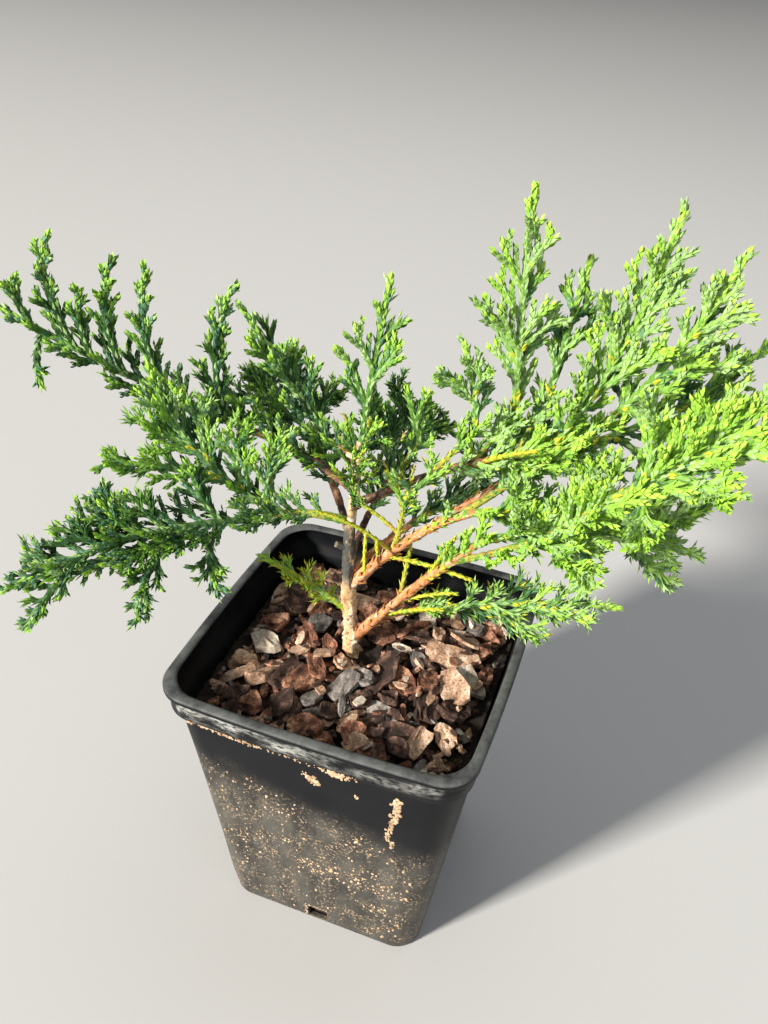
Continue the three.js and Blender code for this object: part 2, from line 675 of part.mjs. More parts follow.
function makeMass(mass, m) {
  const [stem, ...leaders] = mass.axes;
  const from = 1 - stem.tipShare;
  const steps = Math.max(2, Math.round((stem.length * from) / 9));
  const points = [];
  const radii = [];
  for (let i = 0; i <= steps; i += 1) {
    const s = (i / steps) * (from + 1.5 / stem.length);
    points.push(stem.curve.getPoint(s));
    radii.push(GROWTH.stemRadius * (1 - 0.3 * s));
  }
  const sprays = [{ curve: stem.curve, from, face: FACE, reach: stem.reach * 0.5, key: 0 }];
  leaders.forEach(({ curve, reach }, a) => {
    sprays.push({ curve, from: 0, face: FACE, reach, key: a + 1 });
  });
  const solids = [tube(points, radii, 3)];
  for (const spray of [...sprays, ...fansOf(mass, m)]) solids.push(sprayOf(mass, spray, m));
  return largest(join(solids.map(toSolid)).subtract(limbs.get(mass.carrier).cut));
}

const model = new THREE.Group();

function addNode(name, solid, colour) {
  const [hex, roughness] = COLOURS[colour];
  const material = new THREE.MeshStandardMaterial({ color: hex, roughness, metalness: 0 });
  const mesh = new THREE.Mesh(toGeometry(solid), material);
  mesh.name = name;
  model.add(mesh);
}

addNode('pot', makePot(), 'pot');
addNode('potting_soil', makeSoil(), 'soil');
addNode('bark_mulch', makeMulch([limbs.get('trunk').cut, limbs.get('low_right_bough').cut]), 'mulch');
addNode('trunk', makeTrunk(), 'trunk');
for (const [name, parent] of BOUGHS) {
  addNode(name, limbSolid(limbs.get(name), 0).subtract(limbs.get(parent).cut), 'bough');
}
masses.forEach((mass, m) => addNode(mass.name, makeMass(mass, m), 'foliage'));

export default model;
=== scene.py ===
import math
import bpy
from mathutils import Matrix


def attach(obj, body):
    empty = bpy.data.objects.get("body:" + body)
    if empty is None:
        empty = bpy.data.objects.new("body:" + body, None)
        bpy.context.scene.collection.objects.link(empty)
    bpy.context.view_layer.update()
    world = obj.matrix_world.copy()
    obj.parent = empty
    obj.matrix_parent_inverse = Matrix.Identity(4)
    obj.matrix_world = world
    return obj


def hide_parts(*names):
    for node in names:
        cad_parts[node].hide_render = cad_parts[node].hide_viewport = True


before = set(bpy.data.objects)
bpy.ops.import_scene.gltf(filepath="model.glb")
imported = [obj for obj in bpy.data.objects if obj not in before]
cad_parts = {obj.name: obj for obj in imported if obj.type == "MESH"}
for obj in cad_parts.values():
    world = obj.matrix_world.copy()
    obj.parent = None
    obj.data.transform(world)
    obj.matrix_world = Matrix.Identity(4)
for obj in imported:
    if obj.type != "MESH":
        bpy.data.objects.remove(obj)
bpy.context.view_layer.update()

# Looks of a young spreading conifer in a square nursery pot.
# Sizes are in millimetres, in the frame of the solids, and become metres where a mesh is made.
from types import SimpleNamespace

import bpy
import numpy as np
from mathutils import Matrix, Vector

MM = 0.001
UP = np.array([0.0, 0.0, 1.0])

# Pot
POT = SimpleNamespace(
    height=100.0, foot_half=32.5, wall_top_half=42.2, collar_half=43.8, lip_half=45.0,
    lip_inner_half=42.1, collar_inner_half=42.5, wall=1.3, floor=1.6, foot_corner=8.0,
    rim_corner=10.0, collar_bottom=91.2, lip_bottom=97.9, foot_bevel=0.9, lip_bevel=0.6,
    bulge=0.8, corner_steps=14, side_steps=18,
)
DRAIN = SimpleNamespace(
    width=6.4, height=5.4, bottom=1.9, floor_radius=4.0, floor_place=16.0, bore=8.0)

# Fill of the pot
SOIL_TOP = 84.0
MULCH_TOP = 86.0
BED_CELLS = 120
CHIPS = SimpleNamespace(
    count=520, long=(7.0, 21.0), wide=(4.5, 11.0), thick=(1.0, 3.4), rings=4, sectors=16)
CRUMBS = SimpleNamespace(
    count=900, long=(2.2, 7.5), wide=(1.1, 3.2), thick=(0.4, 1.3), rings=2, sectors=8)
# How chips lie: size of a grid cell, steepest slope, highest top, seed, shares of a chip's
# length and width that rest, fewest cells under it, room about the feet of trunk and boughs,
# percentile of the heap that it lies on, and how much of its thickness it adds
HEAP = SimpleNamespace(cell=0.5, slope=0.65, ceiling=90.6, seed=5.0, resting=(0.46, 0.42),
                       least_cells=6, foot_room=3.2, level=84, cover=0.8)

# Limbs
TRUNK = SimpleNamespace(
    foot=(-5, 4.5, 84), tip=(-6.5, 9, 158), bow=(-1.5, -2.5, 0),
    root_radius=2.35, tip_radius=1.15, flare=1.1, flare_height=5.0,
)
# Boughs are a little slimmer under their leaves and scales than the solids
GIRTH = {"green": 0.8, "orange": 0.86, "dark": 0.92}
# Pruning stubs of the trunk: share of its height, heading in degrees, length, radius
STUBS = [(0.56, 215, 2.8, 1.2), (0.72, 285, 3.2, 1.1), (0.93, 190, 2.6, 0.9)]

# Boughs: name, what carries it and how far along, tip, how far its middle stands off the
# straight line, root radius, tip radius, and its bark
BOUGHS = [
    ("right_bough", "trunk", 0.37, (27, 8, 145), (0, 0, 4.5), 2.0, 1.15, "orange"),
    ("low_right_bough", "trunk", 0.1, (31, 0, 142), (0, 0, 1.5), 1.9, 1.1, "orange"),
    ("upper_right_bough", "trunk", 0.74, (41, 20, 160), (0, -1, 4), 1.5, 0.95, "dark"),
    ("left_bough", "trunk", 0.67, (-27, 0, 134.5), (0, 0, 1.5), 1.6, 1.0, "green"),
    ("upper_left_bough", "trunk", 0.81, (-40, 10, 153), (0, 1, 1), 1.5, 1.0, "dark"),
    ("top_left_bough", "trunk", 0.91, (-19, 15, 153), (0, 0, 0.5), 1.15, 0.9, "dark"),
    ("left_low_bough", "left_bough", 0.72, (-31, -9, 137), (0, 0, 0.5), 0.95, 0.8, "green"),
    ("near_right_bough", "low_right_bough", 0.8, (60, -6, 167), (1, 0, -3), 1.15, 0.9, "green"),
    ("far_right_bough", "right_bough", 0.84, (53, 23, 169), (0, 0, 0), 1.1, 0.9, "green"),
    ("right_spire_bough", "upper_right_bough", 0.62, (31, 23, 168), (0, 0, 0), 0.9, 0.8, "green"),
    ("inner_spire_bough", "upper_right_bough", 0.84, (38, 29, 171), (0, 0, 0), 0.85, 0.75, "green"),
    ("centre_right_bough", "upper_right_bough", 0.2, (8, 15, 158), (0, 0, 0.5), 0.95, 0.8, "green"),
    ("inner_right_bough", "upper_right_bough", 0.42, (22, 18, 164), (0, 0, 0), 0.9, 0.8, "green"),
    ("inner_shoot", "right_bough", 0.36, (8, 3, 147), (1, 0, 1), 1.0, 0.8, "green"),
    ("back_right_bough", "right_bough", 0.6, (50, 38, 156), (0, 2, 1), 1.15, 0.9, "orange"),
    ("rim_bough", "low_right_bough", 0.14, (20, 6, 111), (0, 1, 1), 0.95, 0.8, "orange"),
    ("upright_shoot", "low_right_bough", 0.4, (10, 7, 130), (0, 1, 0), 0.8, 0.6, "green"),
    ("back_left_bough", "trunk", 0.6, (-28, 30, 136), (0, 1, 2), 1.35, 1.0, "dark"),
    ("back_bough", "trunk", 0.5, (-7, 36, 131), (0, 0, 2), 1.3, 1.0, "dark"),
    ("back_right_low_bough", "trunk", 0.44, (15, 34, 130), (0, 1, 2), 1.3, 1.0, "orange"),
]

# Foliage masses: name, what carries it, tip of its stem, how far the middle of the stem
# stands off the straight line, reach of its fans, and its side leaders, each with its place
# along the stem, its tip and the reach of its fans
MASSES = [
    ("centre_spire", "trunk", (-5, 22, 200), (0, -1, 0), 15,
     [(0.2, (-15, 12, 182), 8), (0.34, (0, 15, 185), 8)]),
    ("top_left_spire", "top_left_bough", (-48, 20, 186), (2, 0, -2), 15,
     [(0.3, (-43, 22, 172), 9), (0.42, (-32, 15, 178), 8)]),
    ("upper_left_plume", "upper_left_bough", (-117, 1, 181), (0, 2, -3), 13,
     [(0.1, (-49, 19, 190), 10), (0.34, (-72, 14, 193), 10), (0.5, (-81, 10, 194), 10),
      (0.62, (-89, 7, 187), 8), (0.68, (-97, 5, 199), 10), (0.84, (-106, 1, 189), 8),
      (0.8, (-98, -4, 160), 7)]),
    ("left_fan_upper", "left_bough", (-64, -2, 174), (-4, -3, -3), 16,
     [(0.3, (-69, -18, 150), 12), (0.5, (-65, -10, 161), 9), (0.42, (-49, 1, 165), 11),
      (0.2, (-38, 3, 160), 11), (0.06, (-26, 5, 158), 11)]),
    ("left_fan_low", "left_low_bough", (-81, -51, 127), (0, 0, 5), 18,
     [(0.14, (-35, -22, 121), 10), (0.3, (-51, -37, 117), 11), (0.4, (-69, -22, 143), 11),
      (0.12, (-47, -10, 150), 11), (0.66, (-74, -52, 118), 8)]),
    ("right_spire", "right_spire_bough", (25, 40, 222), (0, -3, 0), 15,
     [(0.24, (17, 28, 194), 9), (0.3, (38, 33, 192), 9)]),
    ("right_inner_spire", "inner_spire_bough", (41, 45, 205), (0, -1, 0), 12,
     [(0.24, (34, 42, 190), 8), (0.34, (47, 42, 191), 8)]),
    ("right_tall_plume", "upper_right_bough", (61, 43, 221), (3, -2, -2), 15,
     [(0.14, (46, 13, 178), 11), (0.28, (64, 24, 192), 11), (0.5, (65, 38, 207), 9),
      (0.42, (47, 30, 200), 9)]),
    ("far_right_plume", "far_right_bough", (78, 44, 213), (2, -2, -1), 14,
     [(0.14, (67, 14, 176), 11), (0.3, (82, 33, 188), 10), (0.5, (74, 45, 204), 8),
      (0.56, (82, 38, 199), 8)]),
    ("near_right_plume", "near_right_bough", (88, 4, 197), (3, 0, -2), 14,
     [(0.16, (63, -1, 190), 11), (0.3, (84, -12, 176), 11), (0.34, (74, 3, 190), 9),
      (0.14, (68, -19, 164), 11), (0.5, (95, -4, 185), 9)]),
    ("front_right_spray", "low_right_bough", (68, 1, 155), (0, 0, 2), 14,
     [(0.16, (40, -9, 156), 11), (0.34, (56, -13, 149), 11), (0.5, (57, 6, 141), 10)]),
    ("low_right_fan", "right_bough", (86, 27, 135), (0, -2, 5), 14,
     [(0.12, (37, 8, 155), 10), (0.36, (58, 10, 128), 11), (0.58, (80, 22, 126), 9),
      (0.5, (84, 37, 146), 12), (0.28, (54, 17, 160), 11)]),
    ("rim_spray", "rim_bough", (69, 18, 118), (0, 0, 2), 12,
     [(0.22, (49, 6, 110), 11), (0.4, (62, 8, 120), 9)]),
    ("back_right_plume", "back_right_bough", (91, 66, 183), (2, 0, -3), 16,
     [(0.16, (52, 62, 172), 12), (0.34, (74, 64, 184), 12), (0.44, (93, 52, 170), 12),
      (0.12, (68, 38, 152), 12)]),
    ("inner_right_spray", "inner_right_bough", (15, 24, 185), (1, 0, 0), 10,
     [(0.3, (10, 17, 177), 7), (0.4, (24, 18, 181), 7)]),
    ("centre_right_sprig", "centre_right_bough", (3, 16, 173), (0, 0, 0), 8,
     [(0.3, (10, 14, 174), 6)]),
    ("inner_sprig", "inner_shoot", (19, 3, 159), (0, 0, 1), 9,
     [(0.2, (5, 0, 155), 6)]),
    ("back_left_fan", "back_left_bough", (-66, 60, 146), (0, 2, 3), 17,
     [(0.16, (-47, 28, 146), 12), (0.3, (-34, 60, 144), 13), (0.5, (-72, 42, 139), 12),
      (0.56, (-50, 72, 140), 12)]),
    ("back_fan", "back_bough", (-16, 82, 134), (0, 0, 4), 17,
     [(0.2, (-24, 54, 130), 12), (0.3, (2, 64, 138), 12), (0.5, (-30, 76, 126), 12),
      (0.6, (0, 82, 126), 11)]),
    ("back_right_fan", "back_right_low_bough", (47, 78, 140), (0, 0, 4), 17,
     [(0.16, (14, 55, 136), 12), (0.3, (46, 52, 138), 12), (0.5, (28, 78, 132), 12),
      (0.56, (60, 68, 132), 12)]),
    ("low_left_sprig", "trunk", (-31, -5, 122), (0, 0, 1), 7.5, []),
]

# Bare golden shoots: name, what carries it and how far along, tip, how far its middle stands
# off the straight line, and radius
GOLDEN_SHOOTS = [
    ("crossing", "right_bough", 0.35, (-14, -3, 140.6), (0, 0, 2.0), 0.52),
    ("climbing", "inner_shoot", 0.3, (-6.1, 2, 143.9), (0, 0, 1), 0.5),
    ("left_tip", "inner_shoot", 0.8, (2.8, 4, 153.7), (0, 0, 1), 0.55),
    ("right_tip", "inner_shoot", 0.9, (9.7, 4, 153.6), (0, 0, 0.5), 0.55),
    ("arching", "right_bough", 0.3, (28.9, 2, 127.1), (0, -1, 1.8), 0.58),
    ("low_right", "low_right_bough", 0.23, (22.5, 0, 115.9), (0, 0, 1), 0.52),
    ("mid_right", "low_right_bough", 0.37, (25.5, 2, 121.2), (0, 0, 1), 0.5),
    ("hanging", "crossing", 0.35, (-0.6, -1, 122.7), (0, -0.5, 0), 0.5),
    ("pendent", "crossing", 0.2, (3.2, -1, 130.2), (0, -0.5, 0), 0.5),
    ("linking", "low_right_bough", 0.6, (24.1, 0, 141.1), (0, 0, 0.5), 0.55),
    ("gilded", "upper_right_bough", 0.68, (39.5, 10, 165.6), (0, -1, 1), 0.65),
]
# Leafy sprigs about the trunk: what carries each and how far along, its tip and its bow
SPRIGS = [
    ("trunk", 0.86, (-12.4, 1, 161.3), (0, 0, 1)),
    ("trunk", 0.92, (-9.1, 3, 168.4), (0, -1, 0)),
    ("trunk", 0.95, (-1.6, 3, 165.7), (0, -1, 0)),
    ("trunk", 0.8, (0.7, 2, 154.9), (0, 0, 1)),
    ("trunk", 0.78, (-11, 0, 153), (0, 0, 1)),
    ("trunk", 0.97, (2.8, 5, 162.8), (0, 0, 1)),
    ("upper_left_bough", 0.3, (-19.1, 0, 151), (0, 0, 1)),
    ("trunk", 0.74, (-3, -3, 150.4), (0, -1, 0.5)),
    ("trunk", 0.84, (-6.5, -1, 156), (1, -2, 0)),
    ("trunk", 0.9, (-4.5, -1, 161.6), (0, -2, 0)),
    ("trunk", 0.88, (-1, -1, 159.5), (0, -2, 0)),
    ("trunk", 0.86, (-11, -1, 155.5), (0, -2, 0)),
    ("trunk", 0.96, (-9, 0, 163.5), (0, -2, 0)),
    ("top_left_bough", 0.35, (-16, -1, 157), (0, -1, 0)),
]
SPRIG_MASS = "inner_sprig"
SPRIG_RADIUS = 0.5
SPRIG_TONES = (0.45, 0.7)

# Dead tufts of withered leaves, as places and headings
TUFTS = [((9.7, 4, 154.5), (0.2, -0.3, 1)), ((3.0, 4, 154.2), (-0.5, -0.2, 1)),
         ((-8.5, 3, 166.5), (-0.3, -0.4, 1)), ((-2.6, 3, 166.6), (0.1, -0.4, 1)),
         ((6.0, 5, 163.5), (0.3, -0.3, 1)), ((-7.5, 2, 158.5), (-0.6, -0.6, 0.5)),
         ((-3.0, 2, 157.0), (0.7, -0.6, 0.4)), ((-9.5, 2, 150.0), (-0.7, -0.6, 0.3))]

TUFT = SimpleNamespace(length=3.2, bow=(0, 0, 0.2), radii=(0.34, 0.2))

# Masses that sit on the side of the trunk, as shares of it, rather than on the tip
TRUNK_SIDE = {"low_left_sprig": 0.25}

# Looks of each mass: freshness of its green, partly its own and partly painted light and
# shade of the mass, and stoutness of its cords, shares of its twigs with pale, bloomed leaves
# and with young awl leaves, share of yellow leaves, and how close its fans stand: below 1
# closer, above 1 further apart
LOOKS = {
    "centre_spire": (0.47, 0.8, 0.25, 0.08, 0.0, 1.4),
    "top_left_spire": (0.34, 0.75, 0.3, 0.08, 0.0, 1.1),
    "upper_left_plume": (0.31, 0.9, 0.3, 0.08, 0.0, 1.0),
    "left_fan_upper": (0.56, 0.55, 0.5, 0.3, 0.0, 0.66),
    "left_fan_low": (0.34, 0.5, 0.72, 0.45, 0.0, 0.56),
    "right_spire": (0.8, 1, 0.6, 0.08, 0.0, 1.0),
    "right_inner_spire": (0.62, 0.9, 0.2, 0.08, 0.0, 1.0),
    "right_tall_plume": (0.78, 0.9, 0.6, 0.08, 0.0, 0.75),
    "far_right_plume": (0.78, 0.9, 0.6, 0.08, 0.0, 0.85),
    "near_right_plume": (0.82, 0.85, 0.6, 0.08, 0.0, 0.36),
    "front_right_spray": (0.76, 1.0, 0.65, 0.4, 0.0, 0.42),
    "low_right_fan": (0.88, 0.95, 0.75, 0.5, 0.0, 0.36),
    "rim_spray": (0.66, 0.4, 0.8, 1.0, 0.05, 0.85),
    "back_right_plume": (0.52, 0.6, 0.04, 0.08, 0.0, 1.0),
    "inner_right_spray": (0.66, 0.4, 0.6, 0.3, 0.0, 0.85),
    "centre_right_sprig": (0.5, 0.4, 0.5, 0.08, 0.0, 1.8),
    "inner_sprig": (0.55, 0.3, 0.04, 0.7, 0.16, 1.0),
    "back_left_fan": (0.4, 0.35, 0.35, 0.3, 0.0, 0.8),
    "back_fan": (0.4, 0.35, 0.35, 0.4, 0.0, 0.8),
    "back_right_fan": (0.42, 0.35, 0.35, 0.4, 0.0, 0.8),
    "low_left_sprig": (1.1, 0.1, 0.04, 1.0, 0.72, 1.0),
}

# Growth rule: the solids' fans, and the finer cords and cordlets that fill them. Angles are in
# degrees, tries are the shares of its length at which a twig may fit in
LEADER = SimpleNamespace(along=0.12, sag=0.03)
GROWTH = SimpleNamespace(
    seed=3.0, fan_step=4.6, fan_spread=10, fan_off=60, fan_stray=55, fan_rise=0.35,
    open_root=50, open_tip=30, tooth_least=2.2, tooth_spread=8, tip_spray=20,
    face=(0.22, -0.66, 0.72), stem_radius=0.85, leader_radius=0.78, thin=0.18,
    clear_mass=0.5, clear_limb=0.9, tries=(1, 0.75, 0.5), fan_shift=0.4, fan_length=(0.85, 1.15),
)
# Values of the finer twigs in a fine mass and in a stout one
FINE = SimpleNamespace(fan_fill=0.48, fan_radius=0.58, cord_step=1.75, cord_share=0.64,
                       cordlet_from=4.4, opening=36)
STOUT = SimpleNamespace(fan_fill=0.85, fan_radius=0.98, cord_step=3.4, cord_share=0.6,
                        cordlet_from=9.0, opening=29)
# Side shoots of boughs: how far apart, how crowded at least, and their angles off the plane
BOUGH_FILL = 0.34
BOUGH_CROWDING = 0.85
BOUGH_OFF = (-20, 60)
# Reach of a twig that hangs
HANGING = 0.85
CORDS = SimpleNamespace(shift=0.2, spread=6, off=18, fading=0.55, least=1.6, last=0.9,
                        rise=0.12, thinner=0.88, first=0.14)
CORDLETS = SimpleNamespace(step=2.0, share=0.5, first=0.2)
# Leaves: step between pairs, length, height of the keel, how far the tip stands off, and how
# far round the twig a leaf wraps, in degrees. Young leaves are awls, dry ones are flakes
LEAF = SimpleNamespace(step=0.95, length=1.6, keel=0.2, spread=0.08, wrap=62)
AWL = SimpleNamespace(step=1.3, length=2.15, keel=0.22, spread=0.6, wrap=36)
FLAKE = SimpleNamespace(step=1.3, length=2.4, keel=0.16, spread=0.5, wrap=30)
# The most that a leaf grows with the girth of its twig
LEAF_LARGEST = 1.4
# Green boughs whose own leaves are in the shade of the crown
SHADED_SHOOTS = ("near_right_bough", "far_right_bough", "left_low_bough", "right_spire_bough",
                 "inner_spire_bough", "centre_right_bough", "left_bough")

# Side shoots on the outer part of the bough that carries a mass: the share of the bough
# where they start, and their reach
BOUGH_SPRAYS = {
    "upper_left_plume": (0.12, 11), "top_left_spire": (0.1, 9), "left_fan_upper": (0.12, 10),
    "left_fan_low": (0.2, 9), "centre_spire": (0.8, 10), "near_right_plume": (0.12, 12),
    "far_right_plume": (0.2, 10), "right_spire": (0.2, 9), "right_inner_spire": (0.3, 8),
    "right_tall_plume": (0.45, 11), "low_right_fan": (0.6, 8), "centre_right_sprig": (0.4, 6),
    "rim_spray": (0.55, 8), "inner_right_spray": (0.3, 7), "inner_sprig": (0.45, 6),
    "front_right_spray": (0.6, 8), "back_left_fan": (0.4, 10), "back_fan": (0.4, 10),
    "back_right_fan": (0.4, 10), "back_right_plume": (0.3, 9),
}

# Greens and browns of the leaves, from the shaded inside of the crown to its tips, and the
# clothing of the stems
LEAF_COLOURS = {
    "deep": ((0.022, 0.070, 0.014), (0.038, 0.100, 0.022)),
    "mid": ((0.066, 0.165, 0.026), (0.100, 0.215, 0.036)),
    "green": ((0.138, 0.295, 0.044), (0.184, 0.355, 0.060)),
    "fresh": ((0.225, 0.430, 0.050), (0.280, 0.490, 0.066)),
    "bright": ((0.325, 0.570, 0.055), (0.390, 0.630, 0.075)),
    "pale": ((0.240, 0.390, 0.135), (0.330, 0.490, 0.190)),
    "bluish": ((0.062, 0.165, 0.085), (0.115, 0.245, 0.135)),
    "yellow": ((0.400, 0.420, 0.028), (0.500, 0.490, 0.042)),
    "orange": ((0.420, 0.170, 0.045), (0.520, 0.260, 0.090)),
    "flaky": ((0.450, 0.270, 0.160), (0.740, 0.580, 0.430)),
}
KINDS = list(LEAF_COLOURS)
DEEP, MID, GREEN, FRESH, BRIGHT, PALE, BLUISH, YELLOW, ORANGE, FLAKY = range(len(KINDS))
# The tones at which the greens change, from deep to bright
TONE_STEPS = [0.24, 0.46, 0.66, 1.04]
# Bloomed leaves grow in patches of this size, whose share goes by a mass's paleness. Below the
# step they are bluish, a darker copy of the pale ones that paints shade, and above it pale, and
# near the tip leaves are as bright as others
BLOOM_SIZE = 9.0
BLOOM_SHARE = (0.22, 0.78)
BLOOM_STEP = 0.55
BLOOM_END = 0.8
# How much darker a core is than the leaves on it, as painted shade under them, how much
# brighter the tip of a twig is than its root, how much more so in dark masses, and from where on
CORE_PAINTED_SHADE = 0.2
TIP_GAIN = 0.5
DARK_TIPS = 1.5
TIP_FROM = 0.45
# How much darker leaves are painted at the root of a twig, as shade inside the crown
ROOT_SHADE = 0.24
# How much a fan's tone gains towards the end of its axis and by rising to the light, what
# counts as neither lit nor shaded, how much a cord gains towards the end of its fan, and how
# much fans and cords differ by chance. The gains towards the ends partly paint shade on the
# inner parts of the crown
FAN_GAIN = 0.2
LIGHT_GAIN = 0.42
EVENLY_LIT = 0.3
OUTER_GAIN = 0.42
FAN_VARIETY = 0.24
CORD_VARIETY = 0.1
# Up to this share a fan's own leaves are dull
DULL_ROOT = 0.3
# The most faces in one joined piece
PIECE_FACES = 190000


# Small helpers for arrays of points

def unit(v):
    return v / np.maximum(np.linalg.norm(v, axis=-1, keepdims=True), 1e-9)


def dot(a, b):
    return np.sum(a * b, axis=-1, keepdims=True)


def lerp(a, b, s):
    return a + (b - a) * s


def chance(a, b, c, d):
    """A number from 0 to 1 that depends only on its four keys."""
    x = np.sin(a * 12.9898 + b * 78.233 + c * 37.719 + d * 11.137 + GROWTH.seed) * 43758.5453
    return x - np.floor(x)


def noise(points, size, key=0.0):
    """Smooth noise from 0 to 1 with features of about the given size."""
    p = np.asarray(points, float) / size + 137.0
    cell = np.floor(p)
    f = p - cell
    f = f * f * (3 - 2 * f)
    total = 0.0
    for corner in np.ndindex(2, 2, 2):
        weight = np.prod(np.where(corner, f, 1 - f), axis=-1)
        at = cell + corner
        total = total + weight * chance(at[..., 0], at[..., 1], at[..., 2], key)
    return total


def angles(sides):
    return 2 * np.pi * np.arange(sides) / sides


def spread(x, y, z=0.0):
    """Points from arrays of their places."""
    return np.stack(np.broadcast_arrays(x, y, z), -1)


def bowed(root, tip, bow):
    """Control points of a curve whose middle stands off the straight line by the bow."""
    root, tip, bow = (np.asarray(v, float) for v in (root, tip, bow))
    return np.stack([root, (root + tip) / 2 + 2 * bow, tip])


def point(curve, s):
    s = np.asarray(s, float)[..., None]
    a, b, c = curve[..., 0, :], curve[..., 1, :], curve[..., 2, :]
    return (1 - s) ** 2 * a + 2 * s * (1 - s) * b + s ** 2 * c


def tangent(curve, s):
    s = np.asarray(s, float)[..., None]
    a, b, c = curve[..., 0, :], curve[..., 1, :], curve[..., 2, :]
    return unit((1 - s) * (b - a) + s * (c - b))


def branch(curve, share, tip, bow):
    """A curve that leaves another one at a share of it."""
    return bowed(point(curve, share), tip, bow)


def lengths(curves):
    s = np.linspace(0, 1, 9)
    path = point(curves[..., None, :, :], s)
    return np.linalg.norm(np.diff(path, axis=-2), axis=-1).sum(-1)


# Making of objects

def make_object(name, points, faces, material, smooth=False):
    """An object from points in mm and faces, in one array or in several."""
    points = np.asarray(points, np.float32).reshape(-1, 3) * MM
    groups = faces if isinstance(faces, list) else [faces]
    mesh = bpy.data.meshes.new(name)
    mesh.from_pydata(points.tolist(), [], [face for group in groups for face in group.tolist()])
    mesh.polygons.foreach_set("use_smooth", np.full(len(mesh.polygons), smooth))
    mesh.validate()
    mesh.materials.append(material)
    piece = bpy.data.objects.new(name, mesh)
    bpy.context.scene.collection.objects.link(piece)
    return piece


def finish_piece(piece, slot, *nodes):
    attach(piece, "root")
    if nodes:
        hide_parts(*nodes)


def make_piece(name, points, faces, material, slot, *nodes, smooth=False):
    """A piece of the part, which stands in for the named nodes of the solids."""
    piece = make_object(name, points, faces, material, smooth)
    finish_piece(piece, slot, *nodes)
    return piece


def grid_faces(rows, columns, closed):
    """Quads between rows of points. Closed rows run round and meet themselves."""
    r, c = np.meshgrid(np.arange(rows - 1), np.arange(columns if closed else columns - 1),
                       indexing="ij")
    n = (c + 1) % columns
    return np.stack([r * columns + c, r * columns + n, (r + 1) * columns + n,
                     (r + 1) * columns + c], -1).reshape(-1, 4)


def fan_faces(first, sides, apex):
    """Triangles from a ring of points to one point."""
    around = np.arange(sides)
    return np.stack([first + around, first + (around + 1) % sides, np.full(sides, apex)], -1)


def copies(faces, per, count):
    """The faces of many copies of one form that has so many points."""
    return (faces + per * np.arange(count)[:, None, None]).reshape(-1, faces.shape[-1])


def spike_faces(sides, rings, count):
    """Faces of many spikes: rings that end in a point, with a flat base."""
    per = sides * rings + 1
    forms = [grid_faces(rings, sides, True), fan_faces(per - 1 - sides, sides, per - 1),
             np.arange(sides)[None, ::-1]]
    return [copies(form, per, count) for form in forms]


def capped(shell, quads):
    """Points and faces of a tube of rings, with a fan of faces closing each end."""
    rings, sides = shell.shape[:2]
    points = np.concatenate([shell.reshape(-1, 3), shell[:1].mean(1), shell[-1:].mean(1)])
    base = fan_faces(0, sides, rings * sides)[:, [1, 0, 2]]
    top = fan_faces((rings - 1) * sides, sides, rings * sides + 1)
    return points, [quads, np.concatenate([base, top])]


def joined(parts):
    """Points and faces of several meshes as one."""
    faces, total = [], 0
    for points, groups in parts:
        faces += [group + total for group in groups]
        total += len(points)
    return np.concatenate([points for points, _ in parts]), faces


def circles(along, aside, sides):
    """Unit circles round directions, and the angles of their points."""
    first = unit(np.cross(along, aside))[..., None, :]
    second = np.cross(along, first[..., 0, :])[..., None, :]
    angle = angles(sides)
    return first * np.cos(angle)[:, None] + second * np.sin(angle)[:, None], angle


# Materials

# The band of the trunk whose bark is painted dark grey, as shade that falls on it there
TRUNK_SHADE_BAND = SimpleNamespace(low=114.0, high=134.0, blur=4.0, colour=(0.062, 0.060, 0.054))


